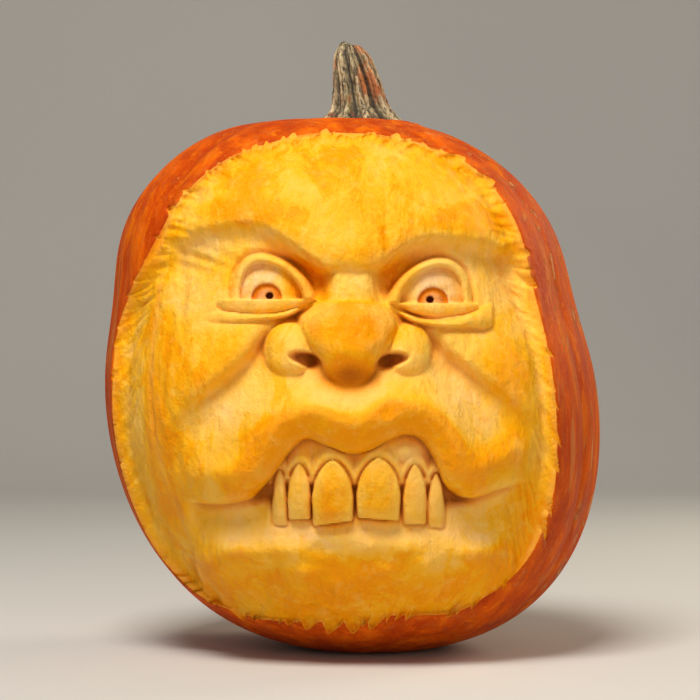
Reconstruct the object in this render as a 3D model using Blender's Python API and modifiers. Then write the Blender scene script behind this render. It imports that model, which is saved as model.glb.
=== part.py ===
"""Carved pumpkin: a ribbed fruit with a snarling face cut into one side, and its woody stem."""
import math

import bmesh
import bpy
import numpy as np

# The fruit before carving: a rounded-square section turned about the upright axis.
# All lengths in the sizes below are millimetres, x to the viewer's right, z above the table.
MM = 0.001
TINY = 1e-6
HALF_WIDTH = 140.0
HALF_HEIGHT = 151.0
MID_HEIGHT = 149.5
SECTION_POWER = 2.4
LEAN, LEAN_PIVOT = -0.079, 133.0
WAIST_DEPTH, WAIST_HEIGHT, WAIST_REACH, WAIST_AT_BACK = 0.044, 196.0, 36.0, 0.65
RIB_COUNT = 12
FIRST_FURROW = math.radians(8.0)
FURROW_DEPTH, FURROW_DEPTH_AT_TOP = 0.024, 0.045
SHOULDER_HEIGHTS, FOOT_HEIGHTS = (225, 292), (-10, 30)
PLEAT_COUNT, PLEAT_DEPTH = 36, 0.009
PLEAT_SWAY, PLEAT_SWAY_HEIGHT, PLEAT_UNEVENNESS = 0.5, 37.0, 0.8
PLEAT_SIDES, PLEAT_FOOT, PLEAT_TOP = (0.62, 0.25), (20, 70), (285, 240)
DIMPLE_DEPTH, DIMPLE_FLOOR, DIMPLE_RIM = 6.0, 25.0, 47.0
SHOULDER_RISE, SHOULDER_RADIUS, SHOULDER_REACH = -0.8, 46.0, 16.0

# The stalk: its middle and its half width against height, its ridges, and its gap to the fruit.
STALK_MIDDLE = ((293, 5.6), (300, 5.4), (304, 5.1), (309.5, 4.2), (318, 3.1), (326.5, 1.4),
                (333.5, 0.0), (340, -1.4))
STALK_HALF = ((293, 28), (296, 26), (300, 22.4), (304, 18.8), (309.5, 16.8), (318, 15.0), (326.5, 13.3),
              (333.5, 11.4), (337, 9.2), (340, 6.2))
STALK_RIDGES, STALK_RIDGE_DEPTH = 9, 0.23
STALK_FINE_RIDGES, STALK_FINE_DEPTH = 25, 0.12
STALK_TWIST = 0.006
STALK_GAP = 0.3
STALK_FOOT_SHARE, STALK_TIP_SHARE = 0.14, 0.07
STALK_KNOB = (-4.7, 3.2, 2.6)

# Lines of the face as (x, z), left to right.
BROW = ((-112, 220), (-88, 231), (-66, 235), (-46, 233), (-34.5, 226), (-23, 217), (-15, 212),
        (-7, 210), (6, 210.5), (15, 213.5), (24, 220), (35, 226), (47, 228), (64, 227), (82, 223.5),
        (112, 208))
FOLD = ((-112, 98), (-99, 119), (-86, 134), (-64, 151), (-51, 163), (-42, 176), (-20, 184), (18, 184),
        (38, 176), (46, 165), (58, 155.5), (82, 137), (98, 122), (112, 100))
LIP_EDGE = ((-108, 87), (-86, 86.5), (-60, 88), (-50, 91.5), (-40, 104), (-33, 114), (-25, 121.5),
            (-13, 118), (-2, 114), (9, 115.5), (20, 121.5), (29, 124), (37, 120), (43, 110), (48, 97),
            (53, 92), (62, 90), (78, 94.5), (104, 99))

# Height of a form against its distance from its line, below zero where it is cut into the fruit.
LIP_CREST = ((-1, -18), (0.2, -15), (1.0, -11), (2.6, -8.6), (6, -6.2), (10, -3.8), (13.5, -2.4),
             (16, -2.7), (20, -5.0), (28, -8.6), (60, -10))
LIP_ROLL = ((-2, -14.5), (0.3, -12), (2.5, -9.4), (6, -7.4), (11, -5.0), (15, -4.0), (20, -4.8),
            (34, -7.2), (60, -8))
CHIN_MIDDLE = ((0, -2), (22, -5.4), (40, -6.0), (50, -5.8), (60, -6.6), (67, -8.9), (73, -12.2),
               (79, -15.2), (85, -16.6), (94, -17), (130, -17))
CHIN_SIDE = ((0, -2), (36, -5), (48, -3.8), (56, -3.2), (63, -6.2), (71, -11), (80, -14.4), (92, -15),
             (130, -15))
FOLD_VALLEY = ((36, 4.5), (46, 9.6), (60, 10.4), (75, 8.4), (90, 4.4), (104, 1.0), (114, 0.0))

# Soft swellings and hollows as (x, z, reach across, reach up, rise).
FACE_SWELLS = (
    (-90, 138, 24, 32, 3.0), (88, 132, 24, 34, 2.6), (0, 178, 50, 26, -9.0), (-46, 246, 20, 12, 1.2),
    (-78, 246, 14, 10, -1.6), (-2, 222, 14, 9, 1.3), (17.5, 240, 1.6, 40, -1.0),
    (-20.5, 192, 8, 8, 5.5), (22, 190.5, 8, 8, 5.5),
)
CHIN_SWELLS = (
    (-60, 62, 14, 6.5, 5.0), (65, 61, 14, 7, 5.2), (2, 57, 22, 7, -2.0), (0, 28, 40, 12, 1.4),
    (-4, 71, 12, 4, 1.6), (-26, 51, 7, 4.5, 2.2), (18, 52, 6, 4.5, 2.0), (38, 55, 6, 5, 2.2),
    (-8, 43, 8, 5, 2.0), (-44, 53, 6, 6, -1.4), (52, 52, 6, 6, -1.4), (-66, 40, 8, 12, 1.5),
    (70, 42, 7, 13, 1.6), (12, 36, 7, 8, -1.3), (-35, 63, 9, 5, 2.0), (-16, 64, 6, 4, -1.8),
    (28, 65, 9, 5, 2.0), (10, 66, 5, 3, 1.4), (-76, 56, 8, 9, 1.8), (80, 58, 7, 10, 1.6),
    (-24, 44, 10, 8, 1.2), (30, 42, 9, 10, 1.2), (-48, 40, 7, 12, -1.2), (52, 44, 6, 12, -1.2),
    (-72, 82, 16, 6, -2.6), (78, 86, 14, 6, -2.6),
)

# The brow ridge, the sockets under it, and the fold beside the muzzle.
BROW_ENDS = (114, 80)
BROW_RIDGE_RISE, BROW_RIDGE_HALF = 1.6, 7
SOCKET_DEPTH, INNER_SOCKET_DEPTH = 8.0, 8.5
INNER_SOCKET_AT, INNER_SOCKET_REACH = 21, 17
SOCKET_EDGE, SOCKET_EDGE_BY_NOSE = (-2, 9), (-2, 8)
SOCKET_FOOT, SOCKET_FOOT_BY_NOSE = (46, 16), (23, 5)
EDGE_BY_NOSE, FOOT_BY_NOSE = (58, 34), (32, 12)
SOCKET_HOLLOWS = ((72, 213, 17, 9, 3.5), (-88, 214, 16, 9, 3.0))
BROW_HAIRS = (-82, 216, 19, 9, 1.3)
HAIR_UP, HAIR_ACROSS, HAIR_SWAY, HAIR_SWAY_RATE = 0.8835, 0.399, 1.2, 0.11
PEEL_START, LIP_OF_PEEL_EDGE = -1.0, (-2.0, 1.0)
FOLD_ENDS, FOLD_EDGE, FOLD_TOP = (112, 86), (-3, 12), (184, 170)
FOLD_HALF_OUTSIDE, FOLD_HALF_INSIDE = 5.0, 12
MUZZLE_LEVEL = -9.2
PHILTRUM_X, PHILTRUM_HALF, PHILTRUM_DEPTH = -1, 14, 2.5
MUZZLE_CHEEKS = (65, 106, 23, 16, 1.6)
UNDER_NOSE = (-1, 157, 40, 14, -6.5)

# Where the lips, the chin and the corners of the mouth begin and end, mostly as distances from the middle.
MOUTH_MIDDLE, MOUTH_ENDS, MOUTH_FADE = 2, (100, 84), (104, 90)
CREST_ENDS, LIP_FADE, LIP_STEP = (86, 64), (34, 12), (-0.5, 0.9)
LIP_DIP_HALF, LIP_DIP_RANGE = 10, (18, 6)
CHIN_SIDE_RANGE, CHIN_ARC_END = (52, 78), 80
CREASE_DEPTH, CREASE_PLACE, CREASE_HALF = 1.8, 1.2, 2.0
CREASE_START, CREASE_END = (46, 54), (92, 80)

# Each tooth as (middle, half width, top, bottom, height of its face, slant of its lower edge).
TEETH = (
    (-37.8, 4.2, 105.5, 76.0, -12.6, -0.10),
    (-27.5, 6.5, 108.5, 79.4, -10.6, 0.05),
    (-10.1, 11.2, 110.4, 77.6, -7.2, 0.14),
    (13.6, 11.9, 111.6, 79.8, -7.6, -0.08),
    (32.7, 6.7, 108.0, 76.9, -10.4, 0.0),
    (43.8, 4.8, 103.5, 74.8, -12.6, -0.15),
)
TEETH_MIDDLE, TEETH_ENDS, UNDER_LIP = 3, (49.5, 47.5), (0.4, -0.6)
TOOTH_ARCH_START, TOOTH_ARCH_LENGTH, TOOTH_ARCH_POWERS = 0.34, 0.68, (2.1, 0.62)
TOOTH_TAPER, TOOTH_TAPER_END, TOOTH_CORNER = 0.06, 0.4, 0.6
TOOTH_ROUNDING, TOOTH_ROUNDING_POWER = 2.4, 2.6
TOOTH_ROOT_FALL, TOOTH_ROOT, TOOTH_TIP_FALL, TOOTH_TIP = 2.2, (0.55, 1.0), 1.0, (0.22, 0)
TOOTH_GROOVE, TOOTH_GROOVE_EDGE, TOOTH_EDGE = 1.6, (-1.5, -0.1), (-0.1, 0.9)
GUM_LEVEL, GUM_FOOT, GUM_EDGE = -17.6, 98.0, 1.5
GUM_FALL, GUM_FLAT, GUM_LUMP = 0.10, 14, (28, 115.5, 9, 6, 6.0)
GUM_ASIDE, GUM_OVER = 4.0, 5.0
GUM_RISE, GUM_RING, GUM_RING_HALF = 5.2, 0.95, 0.15
# How much lower the step under the teeth runs toward the jaws, and the hollows beside the teeth.
CHIN_ARC = 0.0007
MOUTH_CORNERS = ((-46, 93, 9, 6, -6.5), (52, 92, 10, 6, -6.5))

# The nose: half width and height of its front against z, its wings and its nostrils.
NOSE_MIDDLE = -1.5
NOSE_HALF = ((143.6, 4), (146, 10), (151, 13.2), (156, 14.8), (162, 15.6), (168, 19.5), (175, 24.5),
             (182, 25.6), (187, 23.4), (191, 18.8), (194, 13), (196, 6))
NOSE_FRONT = ((143.6, -15.5), (146, -13.4), (150, -11.8), (156, -8.9), (162, -5.4), (168, -2.5),
              (175, -1.8), (183, -2.0), (188, -3.2), (192, -5.8), (196, -10.5))
BRIDGE_FRONT = ((176, -11), (186, -8.5), (195, -9.0), (206, -10.5), (212, -12), (217, -16), (223, -30))
BRIDGE_HALF = ((176, 22), (186, 17), (196, 13.5), (208, 13), (218, 14.5))
WINGS = ((-33.0, 168.0, 12.5, 14.5, -7.5), (29.8, 167.5, 11.5, 14.5, -7.5))
NOSTRILS = ((-24.6, 163.4, -0.16, 9.0), (21.2, 162.8, 0.14, 9.2))

BRIDGE_FOOT, BRIDGE_TOP, BRIDGE_BLEND = 172, 226, 5.0
BRIDGE_DROP, BRIDGE_EDGE = 20, (-6, 9)
WING_ROUNDING, WING_BLEND = 9.5, 2.5
NOSE_SQUARENESS, NOSE_ROUNDING, NOSE_DROP_ASIDE, NOSE_DROP, NOSE_BLEND = 2.8, 14.0, 40.0, 6.0, 2.0
NOSTRIL_DEPTH, NOSTRIL_WALL, NOSTRIL_SLOPE = 11.5, (1.02, 0.4), (-9, 2)
NOSTRIL_HIGH, NOSTRIL_LOW, NOSTRIL_LOWER = 4.6, 4.0, 4.5

# Each eye as (side, pupil x, pupil z, peak of the lid, outer reach, inner reach, foot, height).
EYES = (
    (-1, -43.2, 196.3, -47.7, 11.2, 21.7, 194.3, 19.2),
    (1, 40.8, 194.3, 45.7, 13.0, 20.6, 192.3, 19.2),
)
# The middle of an iris from its pupil, outward and down; the ball's, outward and up.
IRIS_SHIFT, BALL_SHIFT = (1.6, 1.5), (3, 4)
IRIS_EDGE, IRIS_DEPTH, IRIS_HUB, IRIS_RISE = (8.6, 7.7), 2.0, (6.4, 4.8), 0.9
PUPIL_EDGE, PUPIL_DEPTH = (2.3, 1.3), 3
BALL_RADIUS, BALL_LEVEL, BALL_EDGE = 29.0, -13.6, (1.04, 0.97)
EYE_REACH = 22
LID_LEVEL, LID_ROLL, LID_EDGE, LID_FOOT_EDGE = -14.6, 4.4, (1.05, 0.985), 0.8
LID_THICKNESS, LID_INNER_GROWTH, LID_POWERS = (5.0, 4.6), 1.25, (2.3, 1.7)
LID_INNER_SIZE, LID_OUTER_SIZE, LID_TEMPLE_FALL, LID_NOSE_FALL = 15, 19, 0.05, 1.2
LID_CREASE, LID_CREASE_AT, LID_CREASE_HALF = 2.4, 1.04, 1 / 12
SHELF_LEVEL, SHELF_TILT, SHELF_ROUNDING, SHELF_NOSE_FALL = -11.6, 1.2, 2.4, 2.2
SHELF_OVERLAP, SHELF_SOFT, SHELF_END = 0.4, 0.6, (-0.3, 0.6)
POUCH_LEVEL, POUCH_SWELLING, POUCH_MORE, POUCH_NOSE_FALL = -13.4, 3.0, (0.0, 1.6), 1.6
POUCH_SOFT, POUCH_ENDS, POUCH_CREASE, CREASE_FADE = 1.1, ((12, 10), (2.5, 10)), 1.5, 8
# Lower edges of the shelf and of the pouch below it, and the pouch's upper edge, left eye then right.
SHELF_FOOT = (
    ((-71.5, 191), (-69.5, 189.2), (-63, 187.7), (-51, 186.6), (-35.9, 188.1), (-24, 191.7), (-17, 194.4)),
    ((20, 191.9), (25, 190.2), (33.5, 186.7), (44.3, 185.4), (56.2, 186.2), (64, 187.9), (67, 189.6)),
)
POUCH_TOP = (
    ((-80, 186), (-71, 189), (-63, 188), (-51, 186.6), (-35.9, 188.1), (-22, 193.5)),
    ((20, 191), (26, 188.2), (35.7, 184.6), (46.4, 183.4), (56.2, 184.8), (64.9, 190.0), (74, 193)),
)
POUCH_FOOT = (
    ((-80, 183), (-72, 182.2), (-61.9, 182.0), (-47.7, 183.6), (-34.8, 185.0), (-22, 191)),
    ((20, 190), (25, 186.2), (30.2, 183.0), (41.1, 180.5), (52, 179.4), (62, 179.6),
     (71.5, 179.2), (76, 182)),
)

# The carved patch: its half angle against the bearing round it, and the lean of the gouge marks.
PATCH_AXIS = math.radians(-6.0)
PATCH_EDGE = ((-180, 64), (-160, 68), (-140, 71), (-124, 69.5), (-111, 62.5), (-98, 56.5), (-86, 54.5),
              (-74, 54.5), (-62, 60.5), (-48, 63), (-30, 61.5), (-8, 58), (12, 58.3), (28, 60),
              (46, 64.6), (62, 67.2), (78, 63.0), (98, 59.6), (114, 57.8), (132, 56), (148, 57.4),
              (164, 64), (180, 64))
GOUGE_SLANT = ((-180, -1.3), (-140, -0.7), (-100, 0.2), (-60, 0.9), (-20, 1.2), (20, 0.8), (60, 0.1),
               (100, 0.0), (140, -0.6), (180, -1.3))
ARC_PER_DEGREE = 2.44
GOUGE_COUNT, GOUGE_WIDTH, GOUGE_REACH = 190, 2.6, 2.4
GOUGE_STEEPNESS = 0.7
GOUGE_OUT, GOUGE_LENGTH, GOUGE_SPREAD = (-0.7, 1.0), (14, 40), (0.55, 1.15)
GOUGE_DEPTH, GOUGE_STRAY, PATCH_RADIUS = (1.0, 2.4), 0.3, 132
# Toward the foot of the patch the marks are longer, wider and more ragged; toward its top shallower.
FOOT_BEARING, FOOT_SPREAD, FOOT_MORE, FOOT_LONGER, FOOT_WIDER = -85, 50, 2.0, 14, 0.45
TOP_BEARING, TOP_SPREAD, TOP_MORE, TOP_SHALLOWER = 90, 60, 0.9, 0.4
FLAME_COUNT, FLAME_WIDTH, FLAME_REACH = 66, 6.0, 5.0
GOUGE_SEED = 4
PEEL_DEPTH, PEEL_REACH, LIP_OF_PEEL = 5.8, 11.0, 1.2
SCRAPE_COUNT, SCRAPE_SEED, SCRAPE_REACH = 220, 11, 40
SCRAPE_TILT, SCRAPE_LONG, SCRAPE_WIDE = 0.9, (9, 22), (2.4, 6.5)
SCRAPE_RISE, SCRAPE_MORE_ON_CHIN = (-1.0, 0.45), 0.7


def smooth(low, high, x):
    """Zero to one between low and high, with soft ends."""
    t = np.clip((x - low) / (high - low), 0.0, 1.0)
    return t * t * (3.0 - 2.0 * t)


def mix(a, b, share):
    return a + (b - a) * share


def highest(a, b, blend):
    """The higher of two heights, rounded over where they meet."""
    d = np.clip(0.5 + 0.5 * (a - b) / blend, 0.0, 1.0)
    return b + (a - b) * d + 0.5 * blend * d * (1.0 - d)


def bell(x):
    return np.exp(-x * x)


def swell(x, z, middle_x, middle_z, reach_x, reach_z):
    return np.exp(-((x - middle_x) / reach_x) ** 2 - ((z - middle_z) / reach_z) ** 2)


def curve(x, points):
    """A smooth line through (x, y) points, flat beyond its ends."""
    px = np.array([point[0] for point in points], float)
    py = np.array([point[1] for point in points], float)
    slope = np.gradient(py, px)
    i = np.clip(np.searchsorted(px, x) - 1, 0, len(px) - 2)
    width = px[i + 1] - px[i]
    t = np.clip((x - px[i]) / width, 0.0, 1.0)
    t2, t3 = t * t, t * t * t
    return (
        (2 * t3 - 3 * t2 + 1) * py[i]
        + (t3 - 2 * t2 + t) * width * slope[i]
        + (3 * t2 - 2 * t3) * py[i + 1]
        + (t3 - t2) * width * slope[i + 1]
    )


def above(x, z, points, reach=45.0, step=2.5):
    """Distance of (x, z) above a face line, up to reach, without creases away from the line."""
    line_x = np.arange(points[0][0], points[-1][0] + step, step)
    line_z = curve(line_x, points)
    far = np.where(z > curve(x, points), reach, -reach)
    close = (z > line_z.min() - reach) & (z < line_z.max() + reach)
    xs, zs = x[close], z[close]
    best = np.full(xs.shape, reach * reach)
    blended = np.full(xs.shape, reach**-8.0)
    for i in range(len(line_x) - 1):
        ax, az = line_x[i], line_z[i]
        bx, bz = line_x[i + 1] - ax, line_z[i + 1] - az
        t = np.clip(((xs - ax) * bx + (zs - az) * bz) / (bx * bx + bz * bz), 0.0, 1.0)
        away = (xs - ax - t * bx) ** 2 + (zs - az - t * bz) ** 2
        best = np.minimum(best, away)
        blended = blended + np.maximum(away, 1.0) ** -4.0
    best = np.sqrt(best)
    blended = np.minimum(1.12 * blended ** -0.125, reach)
    far[close] = mix(best, blended, smooth(2, 9, best)) * np.sign(far[close])
    return far


def dome(x, z, middle_x, middle_z, reach_x, reach_z, top, rise):
    """A rounded boss: height top in its middle, falling by rise to its edge, then steeply."""
    r = (np.abs((x - middle_x) / reach_x) ** 2.2 + np.abs((z - middle_z) / reach_z) ** 2.2) ** (1 / 2.2)
    round_over = 1.0 - np.sqrt(np.clip(1.0 - r**2.2, 0.0, 1.0))
    return np.where(r < 1.0, top - rise * round_over, top - rise - 30.0 * (r - 1.0))


def large_forms(x, z, inward):
    """Forehead, brow, sockets, cheeks, folds and muzzle."""
    side = np.abs(x)
    relief = -PEEL_DEPTH * smooth(PEEL_START, PEEL_REACH, inward)
    relief = relief - LIP_OF_PEEL * smooth(*LIP_OF_PEEL_EDGE, inward)
    for middle_x, middle_z, reach_x, reach_z, rise in FACE_SWELLS:
        relief = relief + rise * swell(x, z, middle_x, middle_z, reach_x, reach_z)
    below = -above(x, z, BROW)
    along_brow = smooth(*BROW_ENDS, side)
    relief = relief + BROW_RIDGE_RISE * bell((below + BROW_RIDGE_HALF) / BROW_RIDGE_HALF) * along_brow
    inner = bell((side - INNER_SOCKET_AT) / INNER_SOCKET_REACH)
    depth = SOCKET_DEPTH * along_brow + INNER_SOCKET_DEPTH * inner
    for middle_x, middle_z, reach_x, reach_z, more in SOCKET_HOLLOWS:
        depth = depth + more * swell(x, z, middle_x, middle_z, reach_x, reach_z)
    edge = mix(smooth(*SOCKET_EDGE, below), smooth(*SOCKET_EDGE_BY_NOSE, below), smooth(*EDGE_BY_NOSE, side))
    foot = mix(smooth(*SOCKET_FOOT, below), smooth(*SOCKET_FOOT_BY_NOSE, below), smooth(*FOOT_BY_NOSE, side))
    relief = relief - depth * edge * foot
    wave = np.sin(z * HAIR_UP + x * HAIR_ACROSS + HAIR_SWAY * np.sin(x * HAIR_SWAY_RATE))
    relief = relief - BROW_HAIRS[-1] * (0.5 + 0.5 * wave) * swell(x, z, *BROW_HAIRS[:-1])
    past_fold = -above(x, z, FOLD)
    muzzle = MUZZLE_LEVEL - PHILTRUM_DEPTH * bell((x - PHILTRUM_X) / PHILTRUM_HALF)
    muzzle = muzzle + MUZZLE_CHEEKS[-1] * swell(side, z, *MUZZLE_CHEEKS[:-1])
    muzzle = muzzle + UNDER_NOSE[-1] * swell(x, z, *UNDER_NOSE[:-1])
    relief = mix(relief, muzzle, smooth(*FOLD_EDGE, past_fold) * smooth(*FOLD_ENDS, side))
    across = bell(past_fold / np.where(past_fold < 0, FOLD_HALF_OUTSIDE, FOLD_HALF_INSIDE))
    return relief - curve(side, FOLD_VALLEY) * across * smooth(*FOLD_TOP, z)


def mouth(x, z, relief):
    """Upper lip, lower face, gums and teeth."""
    side = np.abs(x - MOUTH_MIDDLE)
    over = above(x, z, LIP_EDGE)
    lip = mix(curve(over, LIP_ROLL), curve(over, LIP_CREST), smooth(*CREST_ENDS, side))
    lip = lip - bell(x / LIP_DIP_HALF) * smooth(*LIP_DIP_RANGE, over)
    opening = smooth(*MOUTH_ENDS, side)
    upper = mix(relief, lip, smooth(*LIP_FADE, over) * opening)
    arc = z + CHIN_ARC * np.minimum(side, CHIN_ARC_END) ** 2
    lower = mix(curve(arc, CHIN_MIDDLE), curve(arc, CHIN_SIDE), smooth(*CHIN_SIDE_RANGE, side))
    for middle_x, middle_z, reach_x, reach_z, rise in CHIN_SWELLS:
        lower = lower + rise * swell(x, z, middle_x, middle_z, reach_x, reach_z)
    lower = mix(relief, lower, opening)
    crease = CREASE_DEPTH * bell((over + CREASE_PLACE) / CREASE_HALF)
    lower = lower - crease * smooth(*CREASE_START, side) * smooth(*CREASE_END, side)
    relief = mix(relief, mix(lower, upper, smooth(*LIP_STEP, over)), smooth(*MOUTH_FADE, side))
    for middle_x, middle_z, reach_x, reach_z, rise in MOUTH_CORNERS:
        relief = relief + rise * swell(x, z, middle_x, middle_z, reach_x, reach_z)

    inside = smooth(*TEETH_ENDS, np.abs(x - TEETH_MIDDLE)) * smooth(*UNDER_LIP, over)
    level = GUM_LEVEL - GUM_FALL * np.clip(side - GUM_FLAT, 0, None)
    gum = level + GUM_LUMP[-1] * swell(x, z, *GUM_LUMP[:-1])
    for middle, half, top, bottom, _, _ in TEETH:
        ring = np.hypot((x - middle) / (half + GUM_ASIDE), (z - bottom) / (top - bottom + GUM_OVER))
        gum = np.maximum(gum, level + GUM_RISE * bell((ring - GUM_RING) / GUM_RING_HALF))
    relief = mix(relief, gum, smooth(GUM_FOOT - GUM_EDGE, GUM_FOOT + GUM_EDGE, z) * inside)
    for middle, half, top, bottom, level, slant in TEETH:
        share = (z - bottom) / (top - bottom)
        round_over, pointed = TOOTH_ARCH_POWERS
        climb = np.clip((share - TOOTH_ARCH_START) / TOOTH_ARCH_LENGTH, 0, 1)
        arch = np.clip(1 - climb**round_over, 0, 1) ** pointed
        width = half * (1 - TOOTH_TAPER * smooth(TOOTH_TAPER_END, 0, share)) * arch
        flank = (width - np.abs(x - middle)) * np.where(share > 0.5, 0.8, 1.0)
        foot = z - bottom - slant * (x - middle)
        within = np.minimum(np.minimum(flank, foot), (flank + foot) * 0.7 - TOOTH_CORNER)
        within = np.where(share > 1.02, -5.0, within)
        across = np.abs(x - middle) / half
        face = level - TOOTH_ROUNDING * across**TOOTH_ROUNDING_POWER
        face = face - TOOTH_ROOT_FALL * smooth(*TOOTH_ROOT, share)
        face = face - TOOTH_TIP_FALL * smooth(*TOOTH_TIP, share)
        relief = relief - TOOTH_GROOVE * smooth(*TOOTH_GROOVE_EDGE, within) * inside
        relief = mix(relief, face, smooth(*TOOTH_EDGE, within))
    return relief


def nose(x, z, relief):
    """Bridge, bulb, wings and nostrils."""
    bridge = curve(z, BRIDGE_FRONT) - BRIDGE_DROP * smooth(*BRIDGE_EDGE, np.abs(x) - curve(z, BRIDGE_HALF))
    on_bridge = (z > BRIDGE_FOOT) & (z < BRIDGE_TOP)
    relief = np.where(on_bridge, highest(relief, bridge, BRIDGE_BLEND), relief)
    for middle_x, middle_z, reach_x, reach_z, top in WINGS:
        wing = dome(x, z, middle_x, middle_z, reach_x, reach_z, top, WING_ROUNDING)
        relief = highest(relief, wing, WING_BLEND)
    off = np.abs(x - NOSE_MIDDLE) / np.maximum(curve(z, NOSE_HALF), 1.0)
    round_over = 1.0 - np.sqrt(np.clip(1.0 - off**NOSE_SQUARENESS, 0.0, 1.0))
    front = curve(z, NOSE_FRONT) - NOSE_ROUNDING * round_over - NOSE_DROP_ASIDE * np.clip(off - 1, 0, 1)
    front = front - NOSE_DROP * np.clip(NOSE_HALF[0][0] - z, 0, 10)
    front = front - NOSE_DROP * np.clip(z - NOSE_HALF[-1][0], 0, 10)
    relief = highest(relief, front, NOSE_BLEND)
    for middle_x, middle_z, tilt, half in NOSTRILS:
        off = (x - middle_x) / half
        up = z - middle_z - tilt * (x - middle_x)
        toward_bulb = off * np.sign(NOSE_MIDDLE - middle_x)
        low = NOSTRIL_LOW + NOSTRIL_LOWER * np.clip(toward_bulb + 0.4, 0, 1)
        away = np.sqrt(off * off + (up / np.where(up > 0, NOSTRIL_HIGH, low)) ** 2)
        relief = relief - NOSTRIL_DEPTH * smooth(*NOSTRIL_WALL, away) * smooth(*NOSTRIL_SLOPE, up)
    return relief


def lid_arch(x, z, eye, grow_side, grow_up):
    """Below one inside the arch of an upper lid, above one outside."""
    side, _, _, peak, outer, inner, foot, high = eye
    off = (x - peak) * side
    reach = np.where(off > 0, outer + grow_side, inner + grow_side * LID_INNER_GROWTH)
    power = np.where(off > 0, *LID_POWERS)
    up = np.clip(z - foot, 0, None) / (high + grow_up)
    return (np.abs(off / reach) ** power + up**power) ** (1 / power)


def strip(x, z, top, foot, soft):
    """Place across a strip, -1 at its foot to 1 at its top, and a soft mask of it."""
    high, low = curve(x, top), curve(x, foot)
    half = np.maximum((high - low) / 2, 0.4)
    place = (z - (high + low) / 2) / half
    return place, smooth(1.0 + soft / half, 1.0 - soft / half, np.abs(place))


def eyes(x, z, relief):
    """Balls, lids, shelves and pouches."""
    for number, eye in enumerate(EYES):
        side, pupil_x, pupil_z, peak, _, _, foot, _ = eye
        over = smooth(-LID_FOOT_EDGE, LID_FOOT_EDGE, z - foot)
        inner_arch, outer_arch = lid_arch(x, z, eye, 0, 0), lid_arch(x, z, eye, *LID_THICKNESS)
        relief = relief - LID_CREASE * bell((outer_arch - LID_CREASE_AT) / LID_CREASE_HALF) * over
        inward = np.clip(inner_arch - 1, 0, None) * LID_INNER_SIZE
        outward = np.clip(1 - outer_arch, 0, None) * LID_OUTER_SIZE
        across = inward / (inward + outward + TINY)
        toward_temple = (x - peak) * side
        lid = LID_LEVEL + LID_ROLL * np.sqrt(np.clip(4 * across * (1 - across), 0, 1))
        lid = lid - LID_TEMPLE_FALL * np.clip(toward_temple, 0, None) ** 1.5
        lid = lid - LID_NOSE_FALL * smooth(0, EYE_REACH, -toward_temple)
        relief = mix(relief, lid, smooth(*LID_EDGE, outer_arch) * over)
        middle = (x - pupil_x - side * BALL_SHIFT[0]) ** 2 + (z - pupil_z - BALL_SHIFT[1]) ** 2
        ball = BALL_LEVEL - (BALL_RADIUS - np.sqrt(np.clip(BALL_RADIUS**2 - middle, 1, None)))
        hub = np.hypot(x - pupil_x - side * IRIS_SHIFT[0], z - pupil_z + IRIS_SHIFT[1])
        ball = ball - smooth(*IRIS_EDGE, hub) * (IRIS_DEPTH - IRIS_RISE * smooth(*IRIS_HUB, hub))
        ball = ball - PUPIL_DEPTH * smooth(*PUPIL_EDGE, np.hypot(x - pupil_x, z - pupil_z))
        relief = mix(relief, ball, smooth(*BALL_EDGE, inner_arch) * over)

        ends = [point[0] for point in SHELF_FOOT[number]]
        top = foot + SHELF_OVERLAP
        place, on = strip(x, z, ((ends[0], top), (ends[-1], top)), SHELF_FOOT[number], SHELF_SOFT)
        on = on * smooth(*SHELF_END, x - ends[0]) * smooth(*SHELF_END, ends[-1] - x)
        run = np.clip((x - peak) * side / EYE_REACH, -1.3, 1)
        toward_nose = np.clip(-run, 0, 2)
        shelf = SHELF_LEVEL + SHELF_TILT * place - SHELF_ROUNDING * np.clip(-place, 0, 1) ** 3
        shelf = shelf - SHELF_NOSE_FALL * toward_nose
        pouch_ends = (POUCH_FOOT[number][0][0], POUCH_FOOT[number][-1][0])
        pouch_place, pouch_on = strip(x, z, POUCH_TOP[number], POUCH_FOOT[number], POUCH_SOFT)
        outer_soft, inner_soft = POUCH_ENDS[number]
        pouch_on = pouch_on * smooth(0, inner_soft if side > 0 else outer_soft, x - pouch_ends[0])
        pouch_on = pouch_on * smooth(0, outer_soft if side > 0 else inner_soft, pouch_ends[1] - x)
        swelling = POUCH_SWELLING + POUCH_MORE[number] * (1 + run)
        pouch = POUCH_LEVEL + swelling * np.sqrt(np.clip(1 - pouch_place**2, 0, 1))
        pouch = pouch - POUCH_NOSE_FALL * toward_nose
        crease = POUCH_CREASE * bell((pouch_place + 1) * 1.2) * (pouch_place < 3)
        crease = crease * smooth(0, CREASE_FADE, x - pouch_ends[0])
        crease = crease * smooth(0, CREASE_FADE, pouch_ends[1] - x)
        relief = relief - crease
        relief = mix(relief, pouch, pouch_on)
        relief = mix(relief, shelf, on)
    return relief


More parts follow.
